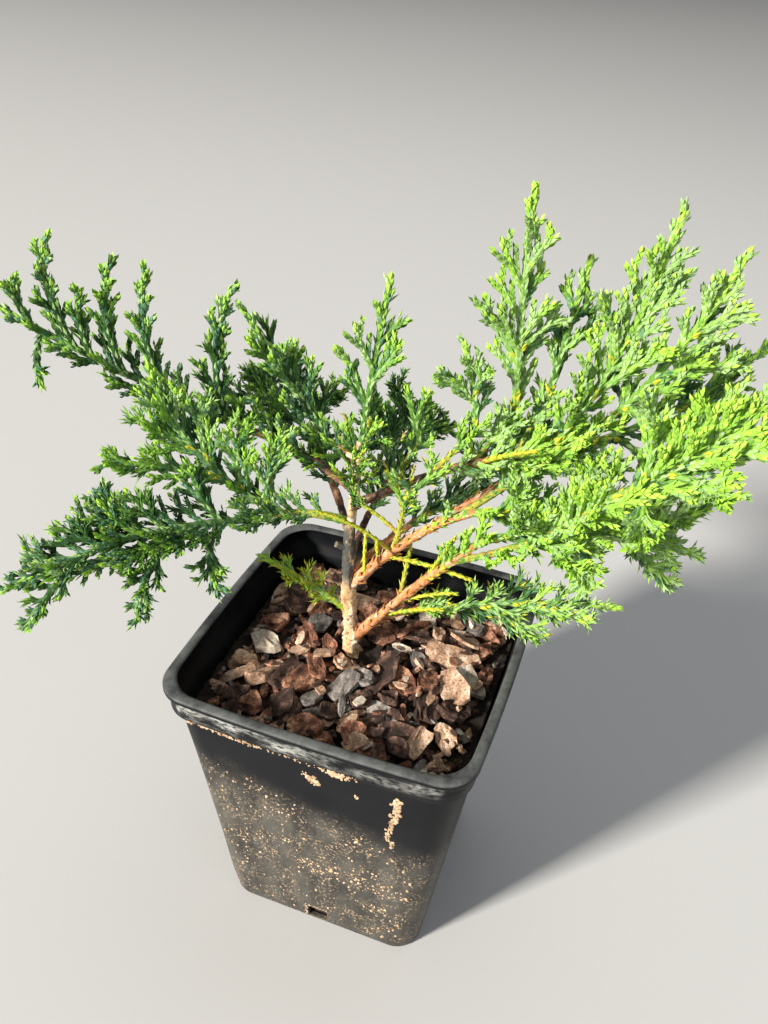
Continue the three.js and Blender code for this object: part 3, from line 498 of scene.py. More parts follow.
class Shader:
    """A node material on one Principled shader, with short calls for its textures."""

    def __init__(self, name, roughness, **values):
        self.material = bpy.data.materials.new(name)
        self.material.use_nodes = True
        self.tree = self.material.node_tree
        self.where = self.add("TexCoord", {}, "Object")
        self.finish("Roughness", roughness)
        for key, value in values.items():
            self.finish(key.replace("_", " "), value)

    def put(self, socket, value):
        """Gives an input a value, or links the output of another node to it."""
        if isinstance(value, bpy.types.NodeSocket):
            self.tree.links.new(value, socket)
        else:
            socket.default_value = value

    def add(self, kind, inputs, output=0, **settings):
        """An output of a new node. Its inputs are given by name or by number."""
        node = self.tree.nodes.new("ShaderNode" + kind)
        for key, value in settings.items():
            setattr(node, key, value)
        for key, value in inputs.items():
            self.put(node.inputs[key], value)
        return node.outputs[output]

    def finish(self, key, value):
        """Feeds the Principled shader."""
        self.put(self.tree.nodes["Principled BSDF"].inputs[key], value)

    def noise(self, size, detail=3.0, rough=0.55, stretch=None):
        """Noise whose features are about size mm across."""
        where = self.where
        if stretch:
            where = self.add("Mapping", {"Vector": where, "Scale": stretch})
        return self.add("TexNoise", {"Vector": where, "Scale": 1 / (size * MM),
                                     "Detail": detail, "Roughness": rough}, "Fac")

    def ramp(self, factor, *stops):
        made = self.add("ValToRGB", {"Fac": factor})
        ends = made.node.color_ramp.elements
        while len(ends) < len(stops):
            ends.new(0.5)
        for end, (place, colour) in zip(ends, stops):
            end.position = place
            end.color = (*colour, 1)
        return made

    def mix(self, factor, *both):
        a, b = ((*colour, 1) if isinstance(colour, tuple) else colour for colour in both)
        return self.add("Mix", {"Factor": factor, "A": a, "B": b}, "Result", data_type="RGBA")

    def place(self, axis):
        return self.add("SeparateXYZ", {"Vector": self.where}, axis)

    def span(self, source, low, high, to_low=0.0, to_high=1.0, form="SMOOTHSTEP"):
        """A step from one value to the other as the source goes from low to high."""
        return self.add("MapRange", {"Value": source, "From Min": low, "From Max": high,
                                     "To Min": to_low, "To Max": to_high}, "Result",
                        interpolation_type=form)

    def times(self, first, *others):
        for other in others:
            first = self.add("Math", {0: first, 1: other}, operation="MULTIPLY")
        return first

    def weighted(self, first, weight, second):
        return self.add("Math", {0: first, 1: weight, 2: second}, operation="MULTIPLY_ADD")

    def colour(self, source):
        self.finish("Base Color", source)

    def roughness(self, factor, low, high):
        self.finish("Roughness", self.span(factor, 0.0, 1.0, low, high, "LINEAR"))

    def bump(self, height, strength, distance):
        self.finish("Normal", self.add("Bump", {"Height": height, "Strength": strength,
                                                "Distance": distance * MM}))


BLACK, WHITE = (0, 0, 0), (1, 1, 1)


def leaf_material(kind):
    dark, light = LEAF_COLOURS[kind]
    shader = Shader("leaf_" + kind, 0.6, Specular_IOR_Level=0.25)
    shader.colour(shader.ramp(shader.noise(5.0, 2.0), (0.35, dark), (0.65, light)))
    shader.roughness(shader.noise(1.5, 2.0), 0.50, 0.70)
    shader.bump(shader.noise(0.35, 2.0), 0.12, 0.1)
    return shader.material


def bark_material(name, dark, middle, light, size):
    """Flaky bark: plates of two tones with dark seams between them."""
    shader = Shader(name, 0.85)
    plates = shader.noise(size, 4.0, 0.6, (1.0, 1.0, 0.4))
    base = shader.ramp(plates, (0.3, dark), (0.48, middle), (0.66, light))
    fine = shader.noise(size * 0.22, 4.0, 0.65)
    colour = shader.mix(shader.ramp(fine, (0.3, BLACK), (0.55, WHITE)), dark, base)
    # On the trunk a band of the bark is painted dark grey, as shade that falls on it
    if name.endswith("trunk"):
        height = shader.place("Z")
        low, high, blur = TRUNK_SHADE_BAND.low * MM, TRUNK_SHADE_BAND.high * MM, TRUNK_SHADE_BAND.blur * MM
        band = shader.times(shader.span(height, low - blur, low + blur),
                            shader.span(height, high + blur, high - blur),
                            shader.span(plates, 0.36, 0.5, 0.2, 1.0))
        colour = shader.mix(band, colour, TRUNK_SHADE_BAND.colour)
    shader.colour(colour)
    shader.bump(shader.noise(size * 0.4, 5.0, 0.7, (1.0, 1.0, 0.5)), 0.7, 0.35)
    return shader.material


# Limbs

trunk_curve = bowed(TRUNK.foot, TRUNK.tip, TRUNK.bow)


def trunk_radius(s):
    height = s * (TRUNK.tip[2] - TRUNK.foot[2])
    flare = TRUNK.flare * np.exp(-height / (TRUNK.flare_height / 2))
    return lerp(TRUNK.root_radius, TRUNK.tip_radius, s) + flare


def taper(root_radius, tip_radius):
    return lambda s: lerp(root_radius, tip_radius, s ** 0.8)


limbs = {"trunk": SimpleNamespace(curve=trunk_curve, radius=trunk_radius, bark="trunk")}
for name, parent, share, tip, bow, root_radius, tip_radius, bark in BOUGHS:
    curve = branch(limbs[parent].curve, share, tip, bow)
    radius = taper(root_radius * GIRTH[bark], tip_radius * GIRTH[bark])
    limbs[name] = SimpleNamespace(curve=curve, radius=radius, bark=bark)

golden_shoots = {}
for name, carrier, share, tip, bow, radius in GOLDEN_SHOOTS:
    carrying = golden_shoots[carrier][0] if carrier in golden_shoots else limbs[carrier].curve
    golden_shoots[name] = (branch(carrying, share, tip, bow), radius)
sprig_curves = [branch(limbs[carrier].curve, *rest) for carrier, *rest in SPRIGS]

# Axes of the foliage: the stem of each mass and its side leaders
axes = []
for m, (name, carrier, tip, bow, reach, leaders) in enumerate(MASSES):
    stem = branch(limbs[carrier].curve, TRUNK_SIDE.get(name, 1), tip, bow)
    axes.append((m, 0, stem, reach))
    for a, (share, end, leader_reach) in enumerate(leaders):
        root = point(stem, share)
        length = np.linalg.norm(root - end)
        leaning = tangent(stem, share) * length * LEADER.along
        leaning[2] -= length * LEADER.sag
        axes.append((m, a + 1, bowed(root, end, leaning), leader_reach))


def tail(curve, share):
    """The part of a curve from a share of it to its end."""
    return np.stack([point(curve, share), lerp(curve[1], curve[2], share), curve[2]])


# Side shoots of boughs are numbered from here on, after the leaders of their mass
FIRST_BOUGH = 20
mass_names = [mass[0] for mass in MASSES]
bough_axes = []
for i, (name, (start, reach)) in enumerate(BOUGH_SPRAYS.items()):
    m = mass_names.index(name)
    bough_axes.append((m, FIRST_BOUGH + i, tail(limbs[MASSES[m][1]].curve, start), reach))
FRESH_AND_LIGHT_OF, STOUT_OF, PALE_OF, AWL_OF, YELLOW_OF, CROWD_OF = np.array(
    [LOOKS[name] for name in mass_names]).T


def value_of(key, mass):
    """A growth value for each twig, between that of a fine mass and that of a stout one."""
    return lerp(getattr(FINE, key), getattr(STOUT, key), STOUT_OF[mass])


def segments_of(curves, step):
    """Starts and ends of the short segments of curves, and which curve each is from."""
    paths = []
    for curve in curves:
        count = max(4, round(float(lengths(curve)) / step))
        paths.append(point(curve, np.linspace(0, 1, count + 1)))
    owner = np.repeat(np.arange(len(paths)), [len(path) - 1 for path in paths])
    return (np.concatenate([path[:-1] for path in paths]),
            np.concatenate([path[1:] for path in paths]), owner)


def distances(points, starts, ends):
    """Distance from each point to each segment."""
    along = ends - starts
    offset = points[:, None] - starts
    share = np.sum(offset * along, -1) / np.maximum(np.sum(along * along, -1), 1e-9)
    near = offset - np.clip(share, 0, 1)[..., None] * along
    return np.linalg.norm(near, axis=-1)


all_axes = axes + bough_axes
axis_starts, axis_ends, owner = segments_of([axis[2] for axis in all_axes], 5)
axis_mass = np.array([axis[0] for axis in all_axes])[owner]
axis_rules = np.array([axis[1] < FIRST_BOUGH for axis in all_axes])[owner]
limb_starts, limb_ends, owner = segments_of([limb.curve for limb in limbs.values()], 10)
limb_girth = np.array([float(limb.radius(0.3)) for limb in limbs.values()])[owner]


# How far leaves stay off the pot, and how many points are measured at a time
CLEAR_POT = 3
AT_A_TIME = 2000


def is_clear(points, mass):
    """Whether each point keeps to the space of its mass, clear of limbs and of the pot."""
    clear = np.zeros(len(points), bool)
    for first in range(0, len(points), AT_A_TIME):
        part = slice(first, first + AT_A_TIME)
        p, own_mass = points[part], mass[part]
        reach = distances(p, axis_starts, axis_ends)
        own = axis_mass[None] == own_mass[:, None]
        others = np.where(own | ~axis_rules, np.inf, reach)
        room = others.min(1) - np.where(own, reach, np.inf).min(1)
        limb_room = (distances(p, limb_starts, limb_ends) - limb_girth).min(1)
        side = np.abs(p[:, :2]).max(1)
        low = (side < POT.lip_half + CLEAR_POT) & (p[:, 2] < POT.height + CLEAR_POT)
        clear[part] = (room > GROWTH.clear_mass) & (limb_room > GROWTH.clear_limb) & ~low
    return clear


# Twigs, kept as arrays: control points, length, mass, the way they face, radius at the root
# and how much of it they lose, tone of their green, and how much brighter their tips are

# The way that the flat sides of fans tend to face
MAIN_FACE = unit(np.array(GROWTH.face))


class Twigs(SimpleNamespace):
    def pick(self, chosen):
        return Twigs(**{key: value[chosen] for key, value in vars(self).items()})

    def join(self, other):
        return Twigs(**{key: np.concatenate([value, getattr(other, key)])
                        for key, value in vars(self).items()})

    def count(self):
        return len(self.length)


def new_twigs(curves, mass, tone, radius, thin, face=MAIN_FACE, tip=TIP_GAIN):
    """Twigs on curves. Each value is one for all or one for each."""
    values = {"mass": mass, "tone": tone, "radius": radius, "thin": thin, "tip": tip}
    count = len(curves)
    return Twigs(curve=curves, length=lengths(curves), face=np.broadcast_to(face, (count, 3)),
                 **{key: np.broadcast_to(value, count) for key, value in values.items()})


def shoots(root, along, face, side, opening, off, rise, length):
    """Side shoots off an axis: out at an open angle, then bending up. Angles in degrees."""
    opening, off = np.radians(opening)[:, None], np.radians(off)[:, None]
    normal = unit(face - along * dot(face, along))
    across = np.cross(normal, along)
    lateral = across * side[:, None] * np.cos(off) + normal * np.sin(off)
    out = along * np.cos(opening) + lateral * np.sin(opening)
    raised = unit(out + UP * rise)
    reach = (length * np.where(raised[:, 2] < -0.1, HANGING, 1.0))[:, None]
    return np.stack([root, root + out * reach * 0.5, root + raised * reach], axis=1)


def grow(roots, along, face, side, opening, off, rise, length, mass):
    """Side shoots at the longest of the tried lengths that keep to their mass's space."""
    curves = np.zeros((len(length), 3, 3))
    waiting = np.ones(len(length), bool)
    for size in GROWTH.tries:
        of = np.flatnonzero(waiting)
        tried = shoots(roots[of], along[of], face[of], side[of], opening[of], off[of], rise,
                       length[of] * size)
        inner = point(tried, np.full(len(of), 0.6))
        clear = is_clear(tried[:, 2], mass[of]) & is_clear(inner, mass[of])
        curves[of[clear]] = tried[clear]
        waiting[of[clear]] = False
    return curves, ~waiting


def stem_reach(s, tip_share, near_tip):
    """Reach of the fans along a stem: widest about the middle, with a small spray at its tip."""
    swell = (0.55 + 0.45 * np.sin(np.pi * s)) * (1 - 0.55 * s * s)
    past = np.clip((s - 1 + tip_share) / tip_share, 0, 1)
    return np.where(near_tip, 0.5 * (1 - 0.78 * past), swell)


def fans_on(mass, a, curve, reach):
    """Fans on both sides of one axis in turn: their places, directions, sides, angles and
    lengths, their mass, a number of chance each, and how far along the axis they sit."""
    total = float(lengths(curve))
    count = max(3, int(total / GROWTH.fan_step))
    on_bough = a >= FIRST_BOUGH
    fill = value_of("fan_fill", mass) * CROWD_OF[mass]
    if on_bough:
        fill = BOUGH_FILL * max(BOUGH_CROWDING, CROWD_OF[mass])
    k = np.arange(1, count, fill)
    r = [chance(mass, a, k, n) for n in range(7)]
    turn = np.arange(len(k))
    side = np.where(turn % 2 == 1, 1.0, -1.0)
    s = (k + GROWTH.fan_shift * (r[1] - 0.5)) / count
    opening = lerp(GROWTH.open_root, GROWTH.open_tip, s) + GROWTH.fan_spread * (r[2] - 0.5)
    off = GROWTH.fan_off * (r[3] - 0.5) + np.where(turn % 3 == 0, GROWTH.fan_stray * side, 0)
    if a == 0:
        tip_share = min(0.5, GROWTH.tip_spray / total)
        near_tip = s > 1 - tip_share * 0.7
        length = reach * stem_reach(s, tip_share, near_tip)
        opening = np.where(near_tip, value_of("opening", mass), opening)
    elif on_bough:
        length = reach * (0.6 + 0.4 * s)
        off = lerp(*BOUGH_OFF, r[3])
    else:
        length = reach * (1.05 - 0.72 * s)
        opening = value_of("opening", mass) + GROWTH.tooth_spread * (r[5] - 0.5)
    length = np.maximum(GROWTH.tooth_least, length * lerp(*GROWTH.fan_length, r[4]))
    return (point(curve[None], s), tangent(curve[None], s), side, opening, off, length,
            np.full(len(k), mass), r[6], s)


def fans():
    """The fans of every stem and leader: those of the solids, and others between them."""
    root, along, side, opening, off, length, mass, lean, place = (
        np.concatenate(column) for column in zip(*(fans_on(*axis) for axis in all_axes)))
    face = np.broadcast_to(MAIN_FACE, along.shape)
    curves, grown = grow(root, along, face, side, opening, off, GROWTH.fan_rise, length, mass)
    face = unit(np.cross(along, tangent(curves, np.full(len(curves), 0.5))))
    face = unit(face * np.sign(dot(face, MAIN_FACE)) + MAIN_FACE)
    lit = dot(unit(curves[:, 2] - curves[:, 0]), MAIN_FACE)[:, 0] - EVENLY_LIT
    # A fan's tone is painted darker towards the root of its axis, as shade inside the crown, and by
    # how it faces the light
    tone = (FRESH_AND_LIGHT_OF[mass] + FAN_VARIETY * (lean - 0.5) + FAN_GAIN * (place - 0.5)
            + LIGHT_GAIN * lit)
    made = new_twigs(curves, mass, tone, value_of("fan_radius", mass), GROWTH.thin, face)
    return made.pick(grown)


def side_twigs(parents, step, share, first, level):
    """Cords on fans, or cordlets on cords, in one plane on both sides in turn."""
    count = np.maximum(2, (parents.length / step).astype(int))
    of = np.repeat(np.arange(parents.count()), count)
    k = np.concatenate([np.arange(c) for c in count]) + 1.0
    r = [chance(of, k, n, level) for n in range(6)]
    s = first + (1 - first) * (k - 0.4 + CORDS.shift * (r[0] - 0.5)) / count[of]
    side = np.where((k + of) % 2 == 1, 1.0, -1.0)
    opening = value_of("opening", parents.mass[of]) + CORDS.spread * (r[1] - 0.5)
    off = CORDS.off * (r[2] - 0.5)
    length = parents.length[of] * share[of] * (1 - CORDS.fading * s) * (0.86 + 0.28 * r[3])
    keep = (length > CORDS.least) & (s < CORDS.last)
    of, s, side, opening, off, length, lean = (
        v[keep] for v in (of, s, side, opening, off, length, r[4]))
    root = point(parents.curve[of], s)
    along = tangent(parents.curve[of], s)
    own = parents.pick(of)
    curves, grown = grow(root, along, own.face, side, opening, off, CORDS.rise, length, own.mass)
    # A cord is painted darker towards the root of its fan, as shade inside the crown
    tone = own.tone + CORD_VARIETY * (lean - 0.5) + OUTER_GAIN * (s - 0.5)
    made = new_twigs(curves, own.mass, tone, own.radius * CORDS.thinner, own.thin, own.face,
                     own.tip * s)
    return made.pick(grown)


def tubes(twigs, sides, segments):
    """Tubes that end in a point, one for each twig, as one set of points and faces."""
    s = np.arange(segments) / segments
    centre = point(twigs.curve[:, None], s)
    along = tangent(twigs.curve[:, None], s)
    helper = np.where(np.abs(along[..., 2:]) > 0.9, [1.0, 0, 0], UP)
    ring, _ = circles(along, helper, sides)
    width = twigs.radius[:, None] * (1 - twigs.thin[:, None] * s)
    shell = centre[:, :, None] + ring * width[..., None, None]
    points = np.concatenate([shell.reshape(twigs.count(), -1, 3), twigs.curve[:, 2:]], axis=1)
    return points.reshape(-1, 3), spike_faces(sides, segments, twigs.count())


def core_pieces(levels, replaced):
    """The cores of all twigs, joined by colour: each painted a step darker than the leaves it
    bears, as shade under them.
    """
    for kind in range(DEEP, BRIGHT):
        parts = []
        for twigs, sides, segments in levels:
            some = twigs.pick(np.digitize(twigs.tone - CORE_PAINTED_SHADE, TONE_STEPS) == kind)
            if some.count():
                parts.append(tubes(some, sides, segments))
        if parts:
            material = bpy.data.materials["leaf_" + KINDS[kind]]
            make_piece("twigs_" + KINDS[kind], *joined(parts), material, "foliage", *replaced)


def leaves_on(twigs, leaf, spin, first=0.0):
    """Pairs of scale leaves along twigs, each pair turned a quarter from the last.
    Gives five points for each leaf, its twig, and how far along the twig it sits."""
    scale = np.minimum(np.sqrt(twigs.radius / 0.5), LEAF_LARGEST)
    step = leaf.step * scale
    pairs = np.maximum(2, np.ceil(twigs.length * (1 - first) / step)).astype(int)
    of = np.repeat(np.arange(twigs.count()), pairs * 2)
    k = np.concatenate([np.repeat(np.arange(p), 2) for p in pairs]).astype(float)
    half = np.arange(len(of)) % 2
    s = first + (1 - first) * (k + 0.35) / pairs[of]
    centre = point(twigs.curve[of], s)
    along = tangent(twigs.curve[of], s)
    face = twigs.face[of]
    normal = unit(face - along * dot(face, along))
    across = np.cross(along, normal)
    r = [chance(of, k, half, n + spin) for n in range(4)]
    angle = (k % 2) * np.pi / 2 + half * np.pi + 0.35 * (r[0] - 0.5) + spin
    out = normal * np.cos(angle)[:, None] + across * np.sin(angle)[:, None]
    aside = np.cross(along, out)
    size = scale[of] * (0.88 + 0.24 * r[1])
    long = (leaf.length * size)[:, None]
    girth = (twigs.radius[of] * (1 - twigs.thin[of] * s) * 0.95)[:, None]
    wrap = math.radians(leaf.wrap)
    keel = girth + leaf.keel * size[:, None]
    # Leaves lie open along the twig and close over its tip like a bud
    bud = np.clip((s - 0.8) / 0.2, 0, 1)
    lift = (leaf.spread * size * (0.5 + r[2]) * (1 - bud) - 0.3 * girth[:, 0] * bud)[:, None]
    hug = (girth + 0.07) * math.cos(wrap)
    wing = (girth + 0.07) * math.sin(wrap)
    # Heel, a shoulder on each side, keel and tip
    corners = np.stack([
        centre - along * long * 0.2 + out * girth * 0.8,
        centre + along * long * 0.3 + out * hug + aside * wing,
        centre + along * long * 0.3 + out * hug - aside * wing,
        centre + along * long * 0.38 + out * keel,
        centre + along * long * 0.8 + out * (girth + lift),
    ], axis=1)
    return corners, of, s


LEAF_FACES = np.array([(0, 1, 3), (0, 3, 2), (1, 4, 3), (3, 4, 2), (0, 4, 1), (0, 2, 4)])


def leaf_pieces(pattern, corners, kinds, replaced=()):
    """One joined piece for each colour, or more where it would have too many faces."""
    corners, kinds = np.concatenate(corners), np.concatenate(kinds)
    limit = PIECE_FACES // len(LEAF_FACES)
    for kind, colour in enumerate(KINDS):
        chosen = corners[kinds == kind]
        if len(chosen) == 0:
            continue
        material = bpy.data.materials.get("leaf_" + colour) or leaf_material(colour)
        parts = np.array_split(chosen, max(1, math.ceil(len(chosen) / limit)))
        for i, part in enumerate(parts):
            faces = copies(LEAF_FACES, part.shape[1], len(part))
            name = pattern.format(colour, i + 1)
            make_piece(name, part, faces, material, "foliage", *replaced)


def leaf_kinds(twigs, of, s):
    """Colour of each leaf: greener and deeper at the root of a twig, where shade is painted, and
    bright at its tip.
    """
    mass = twigs.mass[of]
    gain = twigs.tip[of] * lerp(DARK_TIPS, 1.0, np.clip(FRESH_AND_LIGHT_OF[mass], 0, 1))
    # Leaves are painted darker towards the root of a twig, as shade inside the crown
    value = (twigs.tone[of] + gain * np.clip((s - TIP_FROM) / 0.5, 0, 1)
             - ROOT_SHADE * (1 - s))
    kinds = np.digitize(value, TONE_STEPS)
    yellow = chance(of, np.round(s * 20), 7, 5) < YELLOW_OF[mass]
    bloom = noise(twigs.curve[:, 0], BLOOM_SIZE, 60)[of]
    bloomed = (bloom < lerp(*BLOOM_SHARE, PALE_OF[mass])) & (kinds > DEEP) & (s < BLOOM_END)
    # Bloomed leaves of low tone turn bluish, painted as the bloom in shade
    kinds = np.where(bloomed, np.where(value < BLOOM_STEP, BLUISH, PALE), kinds)
    return np.where(yellow, YELLOW, kinds)


def grown_twigs():
    """Stems with their leaders, fans and sprigs, cords on those, and cordlets on long cords."""
    mass = np.array([m for m, _, _, _ in axes])
    girth = np.array([GROWTH.leader_radius if a else GROWTH.stem_radius for _, a, _, _ in axes])
    stems = new_twigs(np.stack([curve for _, _, curve, _ in axes]), mass, FRESH_AND_LIGHT_OF[mass],
                      girth * (1 + 0.25 * STOUT_OF[mass]), 0.2)
    sprigs = new_twigs(np.stack(sprig_curves), mass_names.index(SPRIG_MASS),
                       np.linspace(*SPRIG_TONES, len(SPRIGS)), SPRIG_RADIUS, GROWTH.thin)
    first = fans().join(sprigs)
    cords = side_twigs(first, value_of("cord_step", first.mass),
                       value_of("cord_share", first.mass), CORDS.first, 1)
    long_cords = cords.pick(cords.length > value_of("cordlet_from", cords.mass))
    shares = np.full(long_cords.count(), CORDLETS.share)
    return stems, first, cords, side_twigs(long_cords, CORDLETS.step, shares, CORDLETS.first, 2)


def make_foliage():
    """Leaves and cores of all twigs, in place of the masses."""
    stems, *levels = grown_twigs()
    corners, kinds = [], []
    for level, twigs in enumerate(levels):
        bears_awls = chance(np.arange(twigs.count()), 5, level, 2) < AWL_OF[twigs.mass]
        for form, chosen in ((LEAF, ~bears_awls), (AWL, bears_awls)):
            some = twigs.pick(chosen)
            leaf, of, s = leaves_on(some, form, level * 0.7)
            kind = leaf_kinds(some, of, s)
            if level == 0:
                dull = np.where(kind > GREEN, PALE, BLUISH)
                kind = np.where(s < DULL_ROOT, dull, kind)
            corners.append(leaf)
            kinds.append(kind)
    for form, spin in ((AWL, 0.3), (LEAF, 0.9)):
        leaf, of, s = leaves_on(stems, form, spin)
        kind = np.where((s < 0.4) & (form is AWL), PALE, leaf_kinds(stems, of, s))
        corners.append(leaf)
        kinds.append(np.where((s < 0.1) & (stems.tone[of] > 0.5), YELLOW, kind))
    leaf_pieces("leaves_{}_{}", corners, kinds, mass_names)
    first, cords, cordlets = levels
    core_pieces([(stems, 6, 14), (first, 4, 3), (cords, 3, 3), (cordlets, 3, 2)], mass_names)


# Bark of trunk and boughs

# A direction that no limb runs along, and how low the relief of a bark is where its seams show
LIMB_ASIDE = np.array([0.0, 1.0, 0.2])
SEAM_HEIGHT = {"trunk": 0.11, "orange": 0.1, "dark": 0.24, "green": 0.24}
# Meshes of limbs: sides, length of a ring, depth of the bark's relief, and size of its plates
TRUNK_MESH = (36, 0.4, 0.44, 2.2)
BOUGH_MESH = (16, 0.5, 0.38, 1.3)
STUB_MESH = (14, 0.5, 0.25, 1.1)
STUB_RISE = 0.45
FIRST_STUB = 40


def limb_mesh(limb, form, key):
    """A tapering limb with its bark's relief: its rings, its faces, and their relief. It is cut
    flat where it would reach into the soil."""
    sides, step, relief, size = form
    total = float(lengths(limb.curve))
    rings = max(6, round(total / step))
    s = np.linspace(0, 1, rings + 1)
    centre = point(limb.curve[None], s)
    along = tangent(limb.curve[None], s)
    ring, angle = circles(along, LIMB_ASIDE, sides)
    radius = limb.radius(s)[:, None]
    # Bark plates: cells that are taller than wide, raised with a steep edge
    around = spread(np.cos(angle) * radius, np.sin(angle) * radius, (s * total)[:, None] * 0.42)
    plates = noise(around, size, key)
    grain = noise(around * [1, 1, 3], size * 0.35, key + 1)
    height = np.clip((plates + 0.25 * (grain - 0.5) - 0.45) * 7, 0, 1) * 0.7 + grain * 0.3
    radius = radius * (1 - relief * 0.5) + radius * relief * height
    shell = centre[:, None] + ring * radius[..., None]
    shell[..., 2] = np.maximum(shell[..., 2], SOIL_TOP)
    quads = grid_faces(len(s), sides, True)
    return shell, quads, height.ravel()[quads].mean(1)


BARKS = {
    "trunk": ((0.38, 0.20, 0.085), (0.72, 0.50, 0.27), (0.92, 0.84, 0.66), 3.2),
    "orange": ((0.40, 0.140, 0.055), (0.62, 0.270, 0.115), (0.76, 0.45, 0.26), 2.0),
    "dark": ((0.075, 0.036, 0.022), (0.20, 0.090, 0.048), (0.38, 0.20, 0.11), 1.8),
    "green": ((0.20, 0.19, 0.025), (0.36, 0.36, 0.04), (0.48, 0.44, 0.07), 1.6),
}
SEAMS = {
    "trunk": ((0.120, 0.062, 0.035), (0.32, 0.180, 0.095), (0.56, 0.36, 0.21), 2.0),
    "orange": ((0.200, 0.062, 0.026), (0.32, 0.110, 0.045), (0.44, 0.19, 0.090), 1.6),
    "dark": ((0.018, 0.011, 0.008), (0.045, 0.024, 0.016), (0.09, 0.05, 0.03), 1.6),
    "green": ((0.10, 0.12, 0.015), (0.20, 0.22, 0.03), (0.30, 0.30, 0.05), 1.6),
}


def limb_piece(name, limb, form, key, *nodes):
    shell, quads, height = limb_mesh(limb, form, key)
    slot = "trunk_bark" if limb.bark == "trunk" else "bough_bark"
    bark, seam = (bpy.data.materials[kind + limb.bark] for kind in ("bark_", "seam_"))
    piece = make_piece(name, *capped(shell, quads), bark, slot, *nodes, smooth=True)
    piece.data.materials.append(seam)
    indices = np.zeros(len(piece.data.polygons), np.int32)
    indices[:len(quads)] = height < SEAM_HEIGHT[limb.bark]
    piece.data.polygons.foreach_set("material_index", indices)


def make_limbs():
    for prefix, table in (("bark_", BARKS), ("seam_", SEAMS)):
        for name, look in table.items():
            bark_material(prefix + name, *look)
    for key, (name, limb) in enumerate(limbs.items()):
        form = TRUNK_MESH if name == "trunk" else BOUGH_MESH
        limb_piece(name + "_bark", limb, form, key, name)
    trunk = limbs["trunk"]
    for i, (at, heading, long, radius) in enumerate(STUBS):
        root, turn = point(trunk.curve, at), math.radians(heading)
        out = unit(np.array([math.cos(turn), math.sin(turn), STUB_RISE]))
        end = root + out * (trunk.radius(at) + long)
        stub = SimpleNamespace(curve=bowed(root, end, (0, 0, 0)), bark="trunk",
                               radius=taper(radius * 1.15, radius * 0.8))
        limb_piece(f"trunk_stub_{i + 1}", stub, STUB_MESH, FIRST_STUB + i)


# How leaves are coloured by their place along a shoot and by chance

def golden(s, lively):
    return np.where(s + 0.3 * lively > 0.25, np.where(lively > 0.8, FRESH, YELLOW), ORANGE)


def shaded(s, lively):
    inner = np.where(s < 0.3, ORANGE, GREEN)
    return np.where(lively < 0.15, inner, np.where(lively < 0.5, GREEN, MID))


def ripening(s, lively):
    age = s + 0.3 * lively
    outer = np.where(lively > 0.5, FRESH, GREEN)
    return np.where(age < 0.72, ORANGE, np.where(age < 0.95, YELLOW, outer))


def husky(s, lively):
    return np.where(lively < 0.6, ORANGE, FLAKY)


def dead(s, lively):
    return np.full(len(s), FLAKY)


# What each kind of shoot bears: form of leaf, turn, share of the shoot where the leaves
# start, share of the leaves that are there, and how they are coloured
BORNE = {
    "green": [(LEAF, 0, 0.03, 1.0, golden), (AWL, 0.8, 0.046, 1.0, golden)],
    "shaded": [(LEAF, 0, 0.03, 1.0, shaded), (LEAF, 0.8, 0.046, 1.0, shaded)],
    "orange": [(LEAF, 0, 0.42, 1.0, ripening), (AWL, 0.8, 0.06, 0.8, ripening),
               (FLAKE, 0, 0.02, 0.75, husky)],
    "dark": [(LEAF, 0, 0.5, 0.9, shaded)],
    "trunk": [],
    "shoot": [(LEAF, 0, 0.0, 1.0, golden), (AWL, 0.5, 0.0, 0.7, golden)],
    "tuft": [(AWL, 0, 0.0, 1.0, dead)],
}


def make_shoot_leaves():
    """Leaves on the boughs and golden shoots, flakes on the brown boughs, and dead tufts."""
    bearers = []
    for i, (name, limb) in enumerate(limbs.items()):
        kind = "shaded" if name in SHADED_SHOOTS else limb.bark
        bearers.append((kind, limb.curve, limb.radius(0.0), limb.radius(1.0), i * 0.61))
    for i, (curve, radius) in enumerate(golden_shoots.values()):
        bearers.append(("shoot", curve, radius, radius * 0.8, i * 0.37))
    for i, (place, heading) in enumerate(TUFTS):
        tip = np.array(place, float) + unit(np.array(heading)) * TUFT.length
        bearers.append(("tuft", bowed(place, tip, TUFT.bow), *TUFT.radii, i * 0.7))

    corners, kinds, cores = [], [], []
    for kind, curve, root, tip, turn in bearers:
        twig = new_twigs(curve[None], 0, 0, root, 1 - tip / root)
        for form, spin, start, share, colours in BORNE[kind]:
            spin += turn
            leaf, of, s = leaves_on(twig, form, spin, start)
            lively, kept = (chance(np.arange(len(s)), spin, start, key) for key in (4, 5))
            corners.append(leaf[kept < share])
            kinds.append(colours(s, lively)[kept < share])
        if kind in ("shoot", "tuft"):
            cores.append(tubes(twig, 6, 10))
    leaf_pieces("shoot_leaves_{}", corners, kinds)
    material = bpy.data.materials["leaf_yellow"]
    make_piece("shoot_cores", *joined(cores), material, "foliage")


# Pot

def swell_at(z, share):
    """How far the middles of the sides stand out, at a share of the way to the corners."""
    return POT.bulge * (z / POT.height) ** 2 * (1 - share ** 2)


